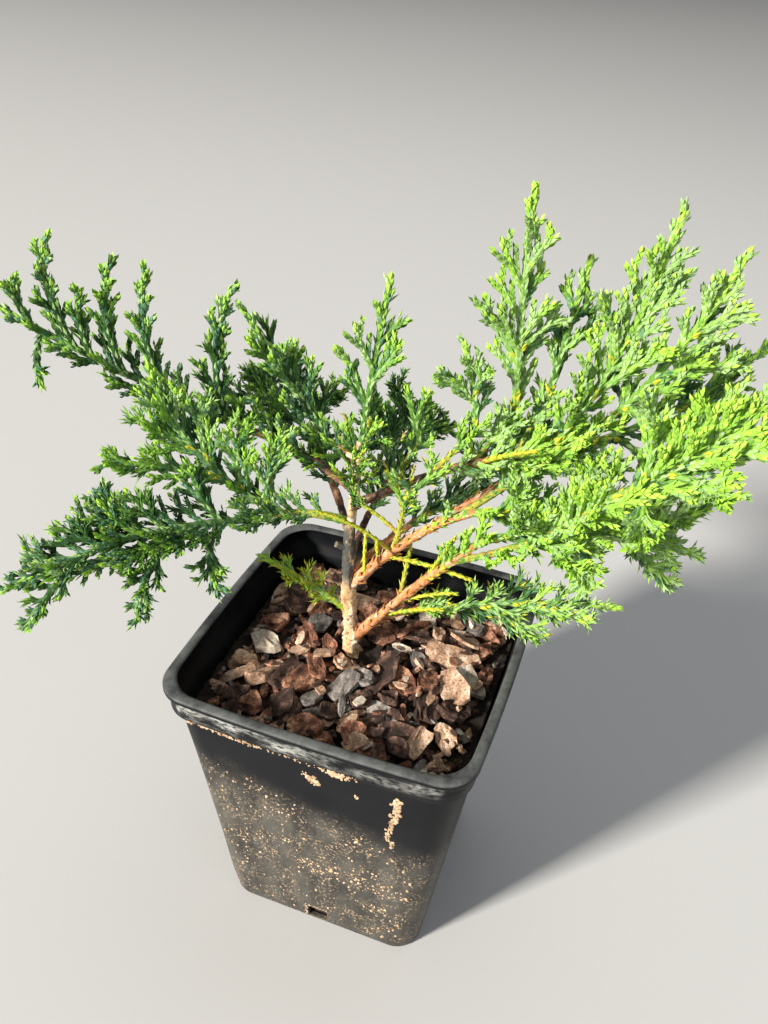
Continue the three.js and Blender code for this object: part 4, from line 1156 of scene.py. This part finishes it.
def pot_ring(half, corner, z):
    """A square with round corners and slightly bulging sides."""
    straight = half - corner
    ring = []
    for quarter in range(4):
        turn = math.pi / 2 * quarter
        side = []
        for i in range(1, POT.side_steps):
            share = 2 * i / POT.side_steps - 1
            side.append((half + swell_at(z, share), straight * share))
        for i in range(POT.corner_steps + 1):
            angle = math.pi / 2 * i / POT.corner_steps
            side.append((straight + corner * math.cos(angle), straight + corner * math.sin(angle)))
        ring += [(x * math.cos(turn) - y * math.sin(turn),
                  x * math.sin(turn) + y * math.cos(turn), z) for x, y in side]
    return ring


def corner_at(z):
    return lerp(POT.foot_corner, POT.rim_corner, z / POT.height)


def outer_half(z):
    share = (z - POT.foot_bevel) / (POT.collar_bottom - POT.foot_bevel)
    return lerp(POT.foot_half, POT.wall_top_half, share)


def pot_profile():
    """Half width and height down the outside, over the lip and down the inside."""
    wall_z = np.linspace(POT.foot_bevel, POT.collar_bottom, 26)
    outer = [(POT.foot_half - POT.foot_bevel, 0), (POT.foot_half - POT.foot_bevel * 0.3, 0.3)]
    outer += [(outer_half(z), z) for z in wall_z]
    outer += [(POT.collar_half - 0.35, POT.collar_bottom + 0.12),
              (POT.collar_half, POT.collar_bottom + 0.5),
              (POT.collar_half, lerp(POT.collar_bottom, POT.lip_bottom, 0.5)),
              (POT.collar_half + 0.1, POT.lip_bottom - 0.3),
              (POT.lip_half - 0.25, POT.lip_bottom), (POT.lip_half, POT.lip_bottom + 0.35)]
    middle = (POT.lip_half + POT.lip_inner_half) / 2
    half_width = (POT.lip_half - POT.lip_inner_half) / 2
    crown = POT.height - POT.lip_bevel
    lip = [(middle + half_width * math.cos(a), crown + POT.lip_bevel * math.sin(a))
           for a in np.linspace(0, math.pi, 9)]
    inner = [(POT.collar_inner_half, POT.height - POT.wall),
             (POT.collar_inner_half, POT.collar_bottom + POT.wall),
             (outer_half(POT.collar_bottom) - POT.wall, POT.collar_bottom)]
    inner += [(outer_half(z) - POT.wall, z) for z in wall_z[::-1] if z > POT.floor + 2]
    inner += [(outer_half(POT.floor) - POT.wall, POT.floor)]
    return outer + lip, inner


def pot_material():
    """Black satin plastic with dust under the rim and dried splashes of soil low down.
    Places are in metres here, and the front of the pot looks to -Y."""
    shader = Shader("pot_plastic", 0.4, Specular_IOR_Level=0.1)
    span, times = shader.span, shader.times
    x, y, z = (shader.place(axis) for axis in "XYZ")

    # The splashes end along a ragged slope that falls from the left side to the right
    slope = shader.weighted(shader.noise(16.0, 3.0), 0.012, shader.weighted(x, 0.2, z))
    splash = span(slope, 0.079, 0.062)
    film = shader.noise(14.0, 4.0, 0.6)
    streaks = shader.noise(8.0, 6.0, 0.68, (1.0, 1.0, 0.4))
    specks = shader.noise(0.8, 2.0, 0.5)
    patches = span(shader.noise(7.0, 3.0, 0.6), 0.38, 0.62)
    plastic = shader.ramp(film, (0.3, (0.004, 0.0045, 0.006)), (0.7, (0.009, 0.010, 0.012)))
    front = span(y, 0.010, -0.020)
    coat = span(y, 0.0, -0.030, 0.3, 1.0)
    dusty = shader.mix(times(span(streaks, 0.12, 0.82), splash, coat), plastic,
                       (0.110, 0.103, 0.088))
    grain = times(span(specks, 0.54, 0.66), splash, patches, front)
    soiled = shader.mix(grain, dusty, (0.34, 0.25, 0.160))
    rim_low = span(z, 0.0912, 0.0935)
    rim_high = span(z, 0.0985, 0.0972)
    outside = span(y, -0.0426, -0.0434)
    grains = span(shader.noise(0.8, 3.0, 0.6, (0.4, 1.0, 1.0)), 0.30, 0.62)
    clouds = span(shader.noise(7.0, 5.0, 0.65, (0.4, 1.0, 1.0)), 0.40, 0.62)
    fading = span(x, -0.035, 0.030, 1.0, 0.45)
    chalk = times(rim_low, rim_high, outside, grains, clouds, fading)
    chalky = shader.mix(chalk, soiled, (0.50, 0.50, 0.47))
    # A grey band along the top of the lip: partly wear, partly a painted highlight along its crown
    wear_and_highlight = times(span(z, 0.0988, 0.0997), span(shader.noise(9.0, 6.0, 0.7), 0.20, 0.65))
    shader.colour(shader.mix(wear_and_highlight, chalky, (0.125, 0.130, 0.130)))
    shader.roughness(film, 0.32, 0.55)
    shader.bump(shader.noise(0.9, 4.0), 0.12, 0.12)
    return shader.material


def dented(points):
    """The thin walls are never quite flat between their foot and the collar."""
    z = points[..., 2]
    level = np.clip(z / 12, 0, 1) * np.clip((96 - z) / 20, 0, 1)
    depth = (noise(points * [1, 1, 0.7], 26.0, 3) - 0.5) * 1.1 * level
    return points + unit(points * [1, 1, 0]) * depth[..., None]


def cut_hole(pot, quarter, place, size, is_round):
    """Cuts a box or a rod out of the pot, at a place turned by quarters about its middle."""
    if is_round:
        bpy.ops.mesh.primitive_cylinder_add(vertices=28, radius=1, depth=1)
    else:
        bpy.ops.mesh.primitive_cube_add(size=1)
    tool = bpy.context.object
    tool.matrix_world = (Matrix.Rotation(math.pi / 2 * quarter, 4, "Z")
                         @ Matrix.Translation(Vector(place) * MM)
                         @ Matrix.Diagonal([v * MM for v in size] + [1]))
    cut = pot.modifiers.new("drain", "BOOLEAN")
    cut.operation = "DIFFERENCE"
    cut.solver = "EXACT"
    cut.object = tool
    bpy.context.view_layer.objects.active = pot
    bpy.ops.object.modifier_apply(modifier=cut.name)
    bpy.data.objects.remove(tool)


def make_pot():
    outer, inner = pot_profile()
    rings = [pot_ring(half, corner_at(z), z) for half, z in outer]
    rings += [pot_ring(half, corner_at(z) - POT.wall, z) for half, z in inner]
    shell = dented(np.array(rings))
    points, faces = capped(shell, grid_faces(len(shell), shell.shape[1], True))
    pot = make_object("pot_shell", points, faces, pot_material(), smooth=True)
    side_place = (POT.foot_half, 0, DRAIN.bottom + DRAIN.height / 2)
    side_hole = (DRAIN.bore, DRAIN.width, DRAIN.height)
    floor_hole = (DRAIN.floor_radius, DRAIN.floor_radius, DRAIN.bore)
    for quarter in range(4):
        cut_hole(pot, quarter, side_place, side_hole, False)
        cut_hole(pot, quarter, (DRAIN.floor_place, DRAIN.floor_place, 0), floor_hole, True)
    finish_piece(pot, "pot_plastic", "pot")


def front_wall(x, z):
    """Points of the pot's front face at the given places, with its swell and dents."""
    half = outer_half(z)
    share = np.minimum(np.abs(x) / (half - corner_at(z)), 1)
    return dented(spread(x, -(half + swell_at(z, share)), z))


# Where the splashes on the front face end, as x and z, and the clods stuck above that line:
# start and end as x and z, count of crumbs, and how far they scatter
SPLASH_LINE = [(-34, 75), (-21, 74), (-10, 69), (4, 66), (13, 64), (26, 61), (42, 60)]
CLODS = [((0, 83), (3, 80), 60, 1.2), ((6, 88), (12, 88), 70, 1.0),
         ((26, 85), (25, 75), 90, 1.1), ((25, 75), (23, 66), 60, 0.8),
         ((23, 66), (25, 61), 30, 0.8), ((14, 81), (15, 80), 10, 0.7),
         ((-36, 89.5), (-14, 88.5), 170, 0.7), ((-14, 88.5), (15, 88.5), 70, 0.6),
         ((-4.3, 1.2), (-3.9, 7.4), 24, 0.5), ((-3.9, 7.9), (3.4, 8.1), 30, 0.5)]
SPECKS = 3600
MOUND_SIDES = 6
# Where the specks lie thick: middle as x and z, half width, half height, and weight
SPECK_PATCHES = [(8, 34, 18, 9, 1.0), (25, 30, 10, 10, 0.9), (-16, 66, 20, 5, 0.9),
                 (9, 59, 14, 5, 0.8), (22, 11, 9, 7, 0.6), (-15, 46, 12, 8, 0.4)]


def splash_specks():
    """Specks below the line of the splashes: x, z and size of each."""
    r = [chance(np.arange(SPECKS), key, 1, 3) for key in range(1, 5)]
    z = 3 + 74 * r[0]
    x = (2 * r[1] - 1) * (outer_half(z) - 5.5)
    line = np.interp(x, *zip(*SPLASH_LINE))
    patch = noise(spread(x, z * 1.3), 9.0, 30)
    thick = 0.12 + sum(weight * np.exp(-((x - u) / wide) ** 2 - ((z - v) / high) ** 2)
                       for u, v, wide, high, weight in SPECK_PATCHES)
    density = np.clip((line - z) / 6, 0, 1) * np.clip((patch - 0.25) * 2.6, 0.1, 1) * thick
    in_hole = (np.abs(x) < DRAIN.width * 0.65) & (z < DRAIN.bottom + DRAIN.height + 1)
    chosen = (r[2] < density) & ~in_hole
    return spread(x, z, 0.16 + 0.42 * r[3] ** 3)[chosen]


def clod_row(i, start, end, count, scatter):
    """Crumbs of one clod, strewn along a line: x, z and size of each."""
    share, x_off, z_off, far, big = (
        chance(np.arange(count), i, key, 3)[:, None] for key in range(5, 10))
    off = (np.concatenate([x_off, z_off], -1) - 0.5) * (scatter * (1 + 2 * far))
    size = scatter * (0.25 + 0.5 * big ** 2)
    return np.concatenate([lerp(np.array(start), np.array(end), share) + off, size], -1)


def make_dirt():
    """Dried specks and clods of soil on the front of the pot, each a small low mound."""
    places = [splash_specks()] + [clod_row(i, *clod) for i, clod in enumerate(CLODS)]
    x, z, size = np.concatenate(places).T
    size = size[:, None, None]
    centre = front_wall(x, z)[:, None]
    number, around = np.arange(len(x))[:, None], np.arange(MOUND_SIDES)
    angle = angles(MOUND_SIDES) + chance(number, 2, 2, 8) * 6
    uneven = 0.75 + 0.5 * chance(number, around, 3, 8)
    ring = spread(np.cos(angle), 0, np.sin(angle)) * uneven[..., None]
    out = np.array([0.0, -1.0, 0.0])
    foot = centre + ring * size - out * 0.25
    shoulder = centre + ring * size * 0.8 + out * size * 0.3
    points = np.concatenate([foot, shoulder, centre + out * size * 0.62], axis=1)
    shader = Shader("dried_soil", 0.95)
    shader.colour(shader.ramp(shader.noise(3.0, 4.0), (0.35, (0.32, 0.200, 0.110)),
                              (0.65, (0.66, 0.48, 0.32))))
    faces = spike_faces(MOUND_SIDES, 2, len(x))
    make_piece("dried_splashes", points, faces, shader.material, "potting_mix")


def make_soil():
    """The soil node keeps its shape; it is seen between the chips and in the drain holes."""
    shader = Shader("soil", 0.95)
    lumps = shader.noise(2.2, 6.0, 0.7)
    # The soil is coloured darker partly as painted shade in the gaps between the chips
    shader.colour(shader.ramp(lumps, (0.3, (0.006, 0.004, 0.003)), (0.52, (0.020, 0.012, 0.008)),
                              (0.72, (0.07, 0.042, 0.028))))
    shader.bump(lumps, 1.0, 1.2)
    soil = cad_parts["potting_soil"]
    soil.data.materials.clear()
    soil.data.materials.append(shader.material)
    return shader.material


def slab_faces(quads, edge, count):
    """Faces between an upper sheet of so many points and a like one below it."""
    after = np.roll(edge, -1)
    walls = np.stack([edge, edge + count, after + count, after], -1)
    return np.concatenate([quads[:, ::-1], quads + count, walls])


def make_bed(material):
    """Rough crumbs of bark and soil under the chips."""
    half = outer_half(MULCH_TOP) - POT.wall - 0.2
    corner = POT.rim_corner - POT.wall
    n = BED_CELLS
    line = np.linspace(-half, half, n)
    x, y = np.meshgrid(line, line, indexing="ij")
    flat = spread(x, y)
    z = SOIL_TOP + 0.4 + 1.6 * noise(flat, 5.0, 11) + 1.2 * noise(flat, 1.6, 12)

    def past(v):
        """How far a place is beyond the start of the round corners."""
        return np.maximum(np.abs(v) - half + corner, 0)

    over = np.hypot(past(x), past(y))
    shrink = np.where(over > corner, corner / np.maximum(over, 1e-6), 1)
    x, y = (np.sign(v) * (np.minimum(np.abs(v), half - corner) + past(v) * shrink)
            for v in (x, y))
    sheets = np.stack([spread(x, y, z), spread(x, y, SOIL_TOP + 0.05)])
    edge = np.concatenate([np.arange(n), np.arange(1, n) * n + n - 1,
                           (n - 1) * n + np.arange(n - 2, -1, -1), np.arange(n - 2, 0, -1) * n])
    faces = slab_faces(grid_faces(n, n, False), edge[::-1], n * n)
    make_piece("mulch_bed", sheets, faces, material, "potting_mix", "bark_mulch", smooth=True)


# Dark, middle and light colours of the chips: partly their own tones, partly painted highlights at
# the light end and painted shade at the dark end
CHIP_COLOURS = {
    "red": ((0.024, 0.010, 0.006), (0.244, 0.098, 0.054), (0.756, 0.415, 0.268)),
    "brown": ((0.007, 0.004, 0.002), (0.059, 0.028, 0.020), (0.317, 0.183, 0.128)),
    "tan": ((0.110, 0.056, 0.034), (0.540, 0.330, 0.212), (0.900, 0.680, 0.520)),
    "grey": ((0.040, 0.034, 0.031), (0.19, 0.165, 0.150), (0.46, 0.410, 0.370)),
    "cream": ((0.28, 0.21, 0.150), (0.62, 0.52, 0.42), (0.86, 0.78, 0.66)),
}
CHIP_ORDER = ("red", "brown", "tan", "brown", "red", "tan", "grey", "red", "brown", "tan",
              "brown", "grey", "brown", "red", "cream", "brown", "tan", "brown", "red")


def chip_material(name):
    dark, middle, light = CHIP_COLOURS[name]
    shader = Shader("chip_" + name, 0.88)
    broad = shader.noise(3.2, 5.0, 0.65, (1.0, 0.55, 1.3))
    fine = shader.noise(0.7, 4.0, 0.7)
    base = shader.ramp(broad, (0.32, dark), (0.5, middle), (0.68, light))
    pits = shader.ramp(fine, (0.32, BLACK), (0.5, WHITE))
    shader.colour(shader.mix(pits, dark, base))
    shader.bump(shader.noise(0.9, 6.0, 0.75, (1.0, 0.5, 1.2)), 0.8, 0.5)
    return shader.material


def chip_points(key, long, wide, thick, rings, sectors):
    """A broken flake of bark about the origin: a straight-edged outline with layered faces."""
    angle = angles(sectors)
    edges = 4 + int(4 * chance(key, 1, 1, 2))
    number = np.arange(edges)
    heading = 2 * np.pi * (number + 0.6 * (chance(key, number, 2, 2) - 0.5)) / edges
    stand = 0.7 + 0.3 * chance(key, number, 3, 2)
    facing = np.cos(angle[:, None] - heading)
    outline = np.where(facing > 0.15, stand / np.maximum(facing, 0.15), 9.0).min(1)
    outline = np.minimum(outline, 1.3) * (0.92 + 0.16 * chance(key, np.arange(sectors), 4, 2))
    share = (np.arange(rings + 1) / rings)[:, None] ** 0.7
    x = share * outline * np.cos(angle) * long / 2
    y = share * outline * np.sin(angle) * wide / 2
    flat = spread(x, y, key * 7.3)
    steps = np.floor(noise(flat * [0.45, 1, 1], 2.6, 23) * 5) / 5
    bend = (chance(key, 5, 5, 1) - 0.3) * 0.16 * wide * (2 * y / wide) ** 2
    ridge = 0.25 * noise(flat * [0.3, 1, 1], 0.8, 24)
    top = thick * (0.1 + 0.75 * steps + ridge) + bend
    low = -thick * (0.25 + 0.3 * noise(flat, 3.0, 25)) + bend
    return np.stack([spread(x, y, top), spread(x, y, low)]).reshape(-1, 3)


def chip_faces(rings, sectors):
    edge = rings * sectors + np.arange(sectors)
    return slab_faces(grid_faces(rings + 1, sectors, True), edge, (rings + 1) * sectors)


class Heap:
    """The height of the mulch so far, on a fine grid over the pot."""

    def __init__(self):
        self.half = outer_half(SOIL_TOP) - POT.wall - 0.5
        n = int(2 * self.half / HEAP.cell)
        line = (np.arange(n) + 0.5) * 2 * self.half / n - self.half
        self.x, self.y = np.meshgrid(line, line, indexing="ij")
        self.top = SOIL_TOP + 0.6 + 1.6 * noise(spread(self.x, self.y), 5.0, 11)
        low_bough = point(limbs["low_right_bough"].curve, 0.1)[:2]
        self.feet = [np.array(TRUNK.foot[:2]), low_bough]

    def drop(self, key, kit):
        """Points of one chip laid on the heap as the heap slopes, or None where it can't lie."""
        r = [chance(key, HEAP.seed, i, 6) for i in range(9)]
        size = r[0] ** 1.5
        long = lerp(*kit.long, size) * (0.85 + 0.3 * r[8])
        wide = min(lerp(*kit.wide, 0.6 * size + 0.4 * r[1]), long * 0.8)
        thick = lerp(*kit.thick, r[2])
        c, s = math.cos(math.pi * r[3]), math.sin(math.pi * r[3])
        room_x = self.half - (abs(c) * long + abs(s) * wide) / 2
        room_y = self.half - (abs(s) * long + abs(c) * wide) / 2
        x, y = (2 * r[4] - 1) * room_x, (2 * r[5] - 1) * room_y
        u = (self.x - x) * c + (self.y - y) * s
        v = -(self.x - x) * s + (self.y - y) * c
        under = (np.abs(u) < long * HEAP.resting[0]) & (np.abs(v) < wide * HEAP.resting[1])
        near = min(np.hypot(*(foot - (x, y))) for foot in self.feet)
        if near < HEAP.foot_room + wide * 0.5 or under.sum() < HEAP.least_cells:
            return None
        place = np.stack([self.x[under] - x, self.y[under] - y, np.ones(under.sum())], -1)
        fit = np.linalg.lstsq(place, self.top[under], rcond=None)[0]
        tilt = np.clip(fit[:2] + 0.5 * (np.array(r[6:8]) - 0.5), -HEAP.slope, HEAP.slope)
        level = np.percentile(self.top[under] - place[:, :2] @ tilt, HEAP.level)
        if level + thick > HEAP.ceiling:
            return None
        plane = level + place[:, :2] @ tilt
        self.top[under] = np.maximum(self.top[under], plane + thick * HEAP.cover)
        normal = unit(np.array([-tilt[0], -tilt[1], 1.0]))
        along = np.array([c, s, 0.0])
        along = unit(along - normal * (along @ normal))
        basis = np.stack([along, np.cross(normal, along), normal])
        placed = chip_points(key, long, wide, thick, kit.rings, kit.sectors) @ basis
        placed += np.array([x, y, level + thick * 0.3])
        placed[:, :2] = np.clip(placed[:, :2], -self.half, self.half)
        return placed


def make_chips():
    """Crumbs first, then chips, then more crumbs are dropped one by one onto the heap."""
    heap = Heap()
    materials = {name: chip_material(name) for name in CHIP_COLOURS}
    late = CRUMBS.count // 3
    turns = [(CRUMBS, 0, CRUMBS.count - late), (CHIPS, 3000, CHIPS.count), (CRUMBS, 6000, late)]
    for label, (kit, start, count) in zip(("low_crumbs", "chips", "crumbs"), turns):
        by_colour = {name: [] for name in CHIP_COLOURS}
        for key in range(start, start + count):
            placed = heap.drop(key, kit)
            if placed is not None:
                by_colour[CHIP_ORDER[key % len(CHIP_ORDER)]].append(placed)
        faces = chip_faces(kit.rings, kit.sectors)
        per = 2 * (kit.rings + 1) * kit.sectors
        for name, placed in by_colour.items():
            if placed:
                make_piece(f"bark_{label}_{name}", np.concatenate(placed),
                           copies(faces, per, len(placed)), materials[name],
                           "bark_chips", "bark_mulch")


# Camera, light and floor

CAMERA = SimpleNamespace(
    azimuth=18.2, elevation=34.1, roll=3.3, target=(3.9, 0.0, 143.7), distance=232.9,
    focal_pixels=875.0, photo_height=1024,
)


def make_camera():
    azimuth, elevation, roll = (
        math.radians(v) for v in (CAMERA.azimuth, CAMERA.elevation, CAMERA.roll))
    back = Vector((math.sin(azimuth) * math.cos(elevation),
                   -math.cos(azimuth) * math.cos(elevation), math.sin(elevation)))
    right = Vector((0, 0, 1)).cross(back).normalized()
    up = back.cross(right)
    tilted = (right * math.cos(roll) + up * math.sin(roll),
              up * math.cos(roll) - right * math.sin(roll), back)
    centre = (Vector(CAMERA.target) + back * CAMERA.distance) * MM
    data = bpy.data.cameras.new("camera")
    data.sensor_width = 36.0
    data.lens = CAMERA.focal_pixels * data.sensor_width / CAMERA.photo_height
    data.clip_start = 0.01
    camera = bpy.data.objects.new("camera", data)
    camera.matrix_world = Matrix.Translation(centre) @ Matrix(tilted).transposed().to_4x4()
    bpy.context.scene.collection.objects.link(camera)
    bpy.context.scene.camera = camera


# Area lights: name, place and size in metres, power in watts, and colour
LIGHTS = [
    ("key_light", (-4.2, -5.6, 3.3), 0.9, 1420, (1.0, 0.95, 0.86)),
    ("fill_light", (0.9, -0.8, 0.7), 1.2, 3, (0.90, 0.95, 1.0)),
    ("top_light", (0.1, 0.5, 1.3), 1.0, 4, (1.0, 1.0, 1.0)),
]
LIGHT_AIM = Vector((0, 0, 0.11))
SKY = SimpleNamespace(colour=(0.90, 0.93, 0.97, 1), strength=0.24)
FLOOR = SimpleNamespace(half=9000.0, colour=(0.52, 0.52, 0.52, 1))


def make_studio():
    shader = Shader("studio_floor", 0.9)
    shader.colour(FLOOR.colour)
    corners = np.array([(-1, -1, 0), (1, -1, 0), (1, 1, 0), (-1, 1, 0)]) * FLOOR.half
    make_object("floor", corners, np.arange(4)[None], shader.material)
    for name, place, size, power, colour in LIGHTS:
        data = bpy.data.lights.new(name, "AREA")
        data.size = size
        data.energy = power
        data.color = colour
        lamp = bpy.data.objects.new(name, data)
        lamp.location = place
        lamp.rotation_euler = (LIGHT_AIM - Vector(place)).to_track_quat("-Z", "Y").to_euler()
        bpy.context.scene.collection.objects.link(lamp)
    world = bpy.data.worlds.new("studio")
    world.use_nodes = True
    background = world.node_tree.nodes["Background"]
    background.inputs["Color"].default_value = SKY.colour
    background.inputs["Strength"].default_value = SKY.strength
    bpy.context.scene.world = world
    bpy.context.scene.view_settings.view_transform = "Standard"


make_camera()
make_studio()
make_pot()
make_dirt()
make_bed(make_soil())
make_chips()
make_limbs()
make_foliage()
make_shoot_leaves()
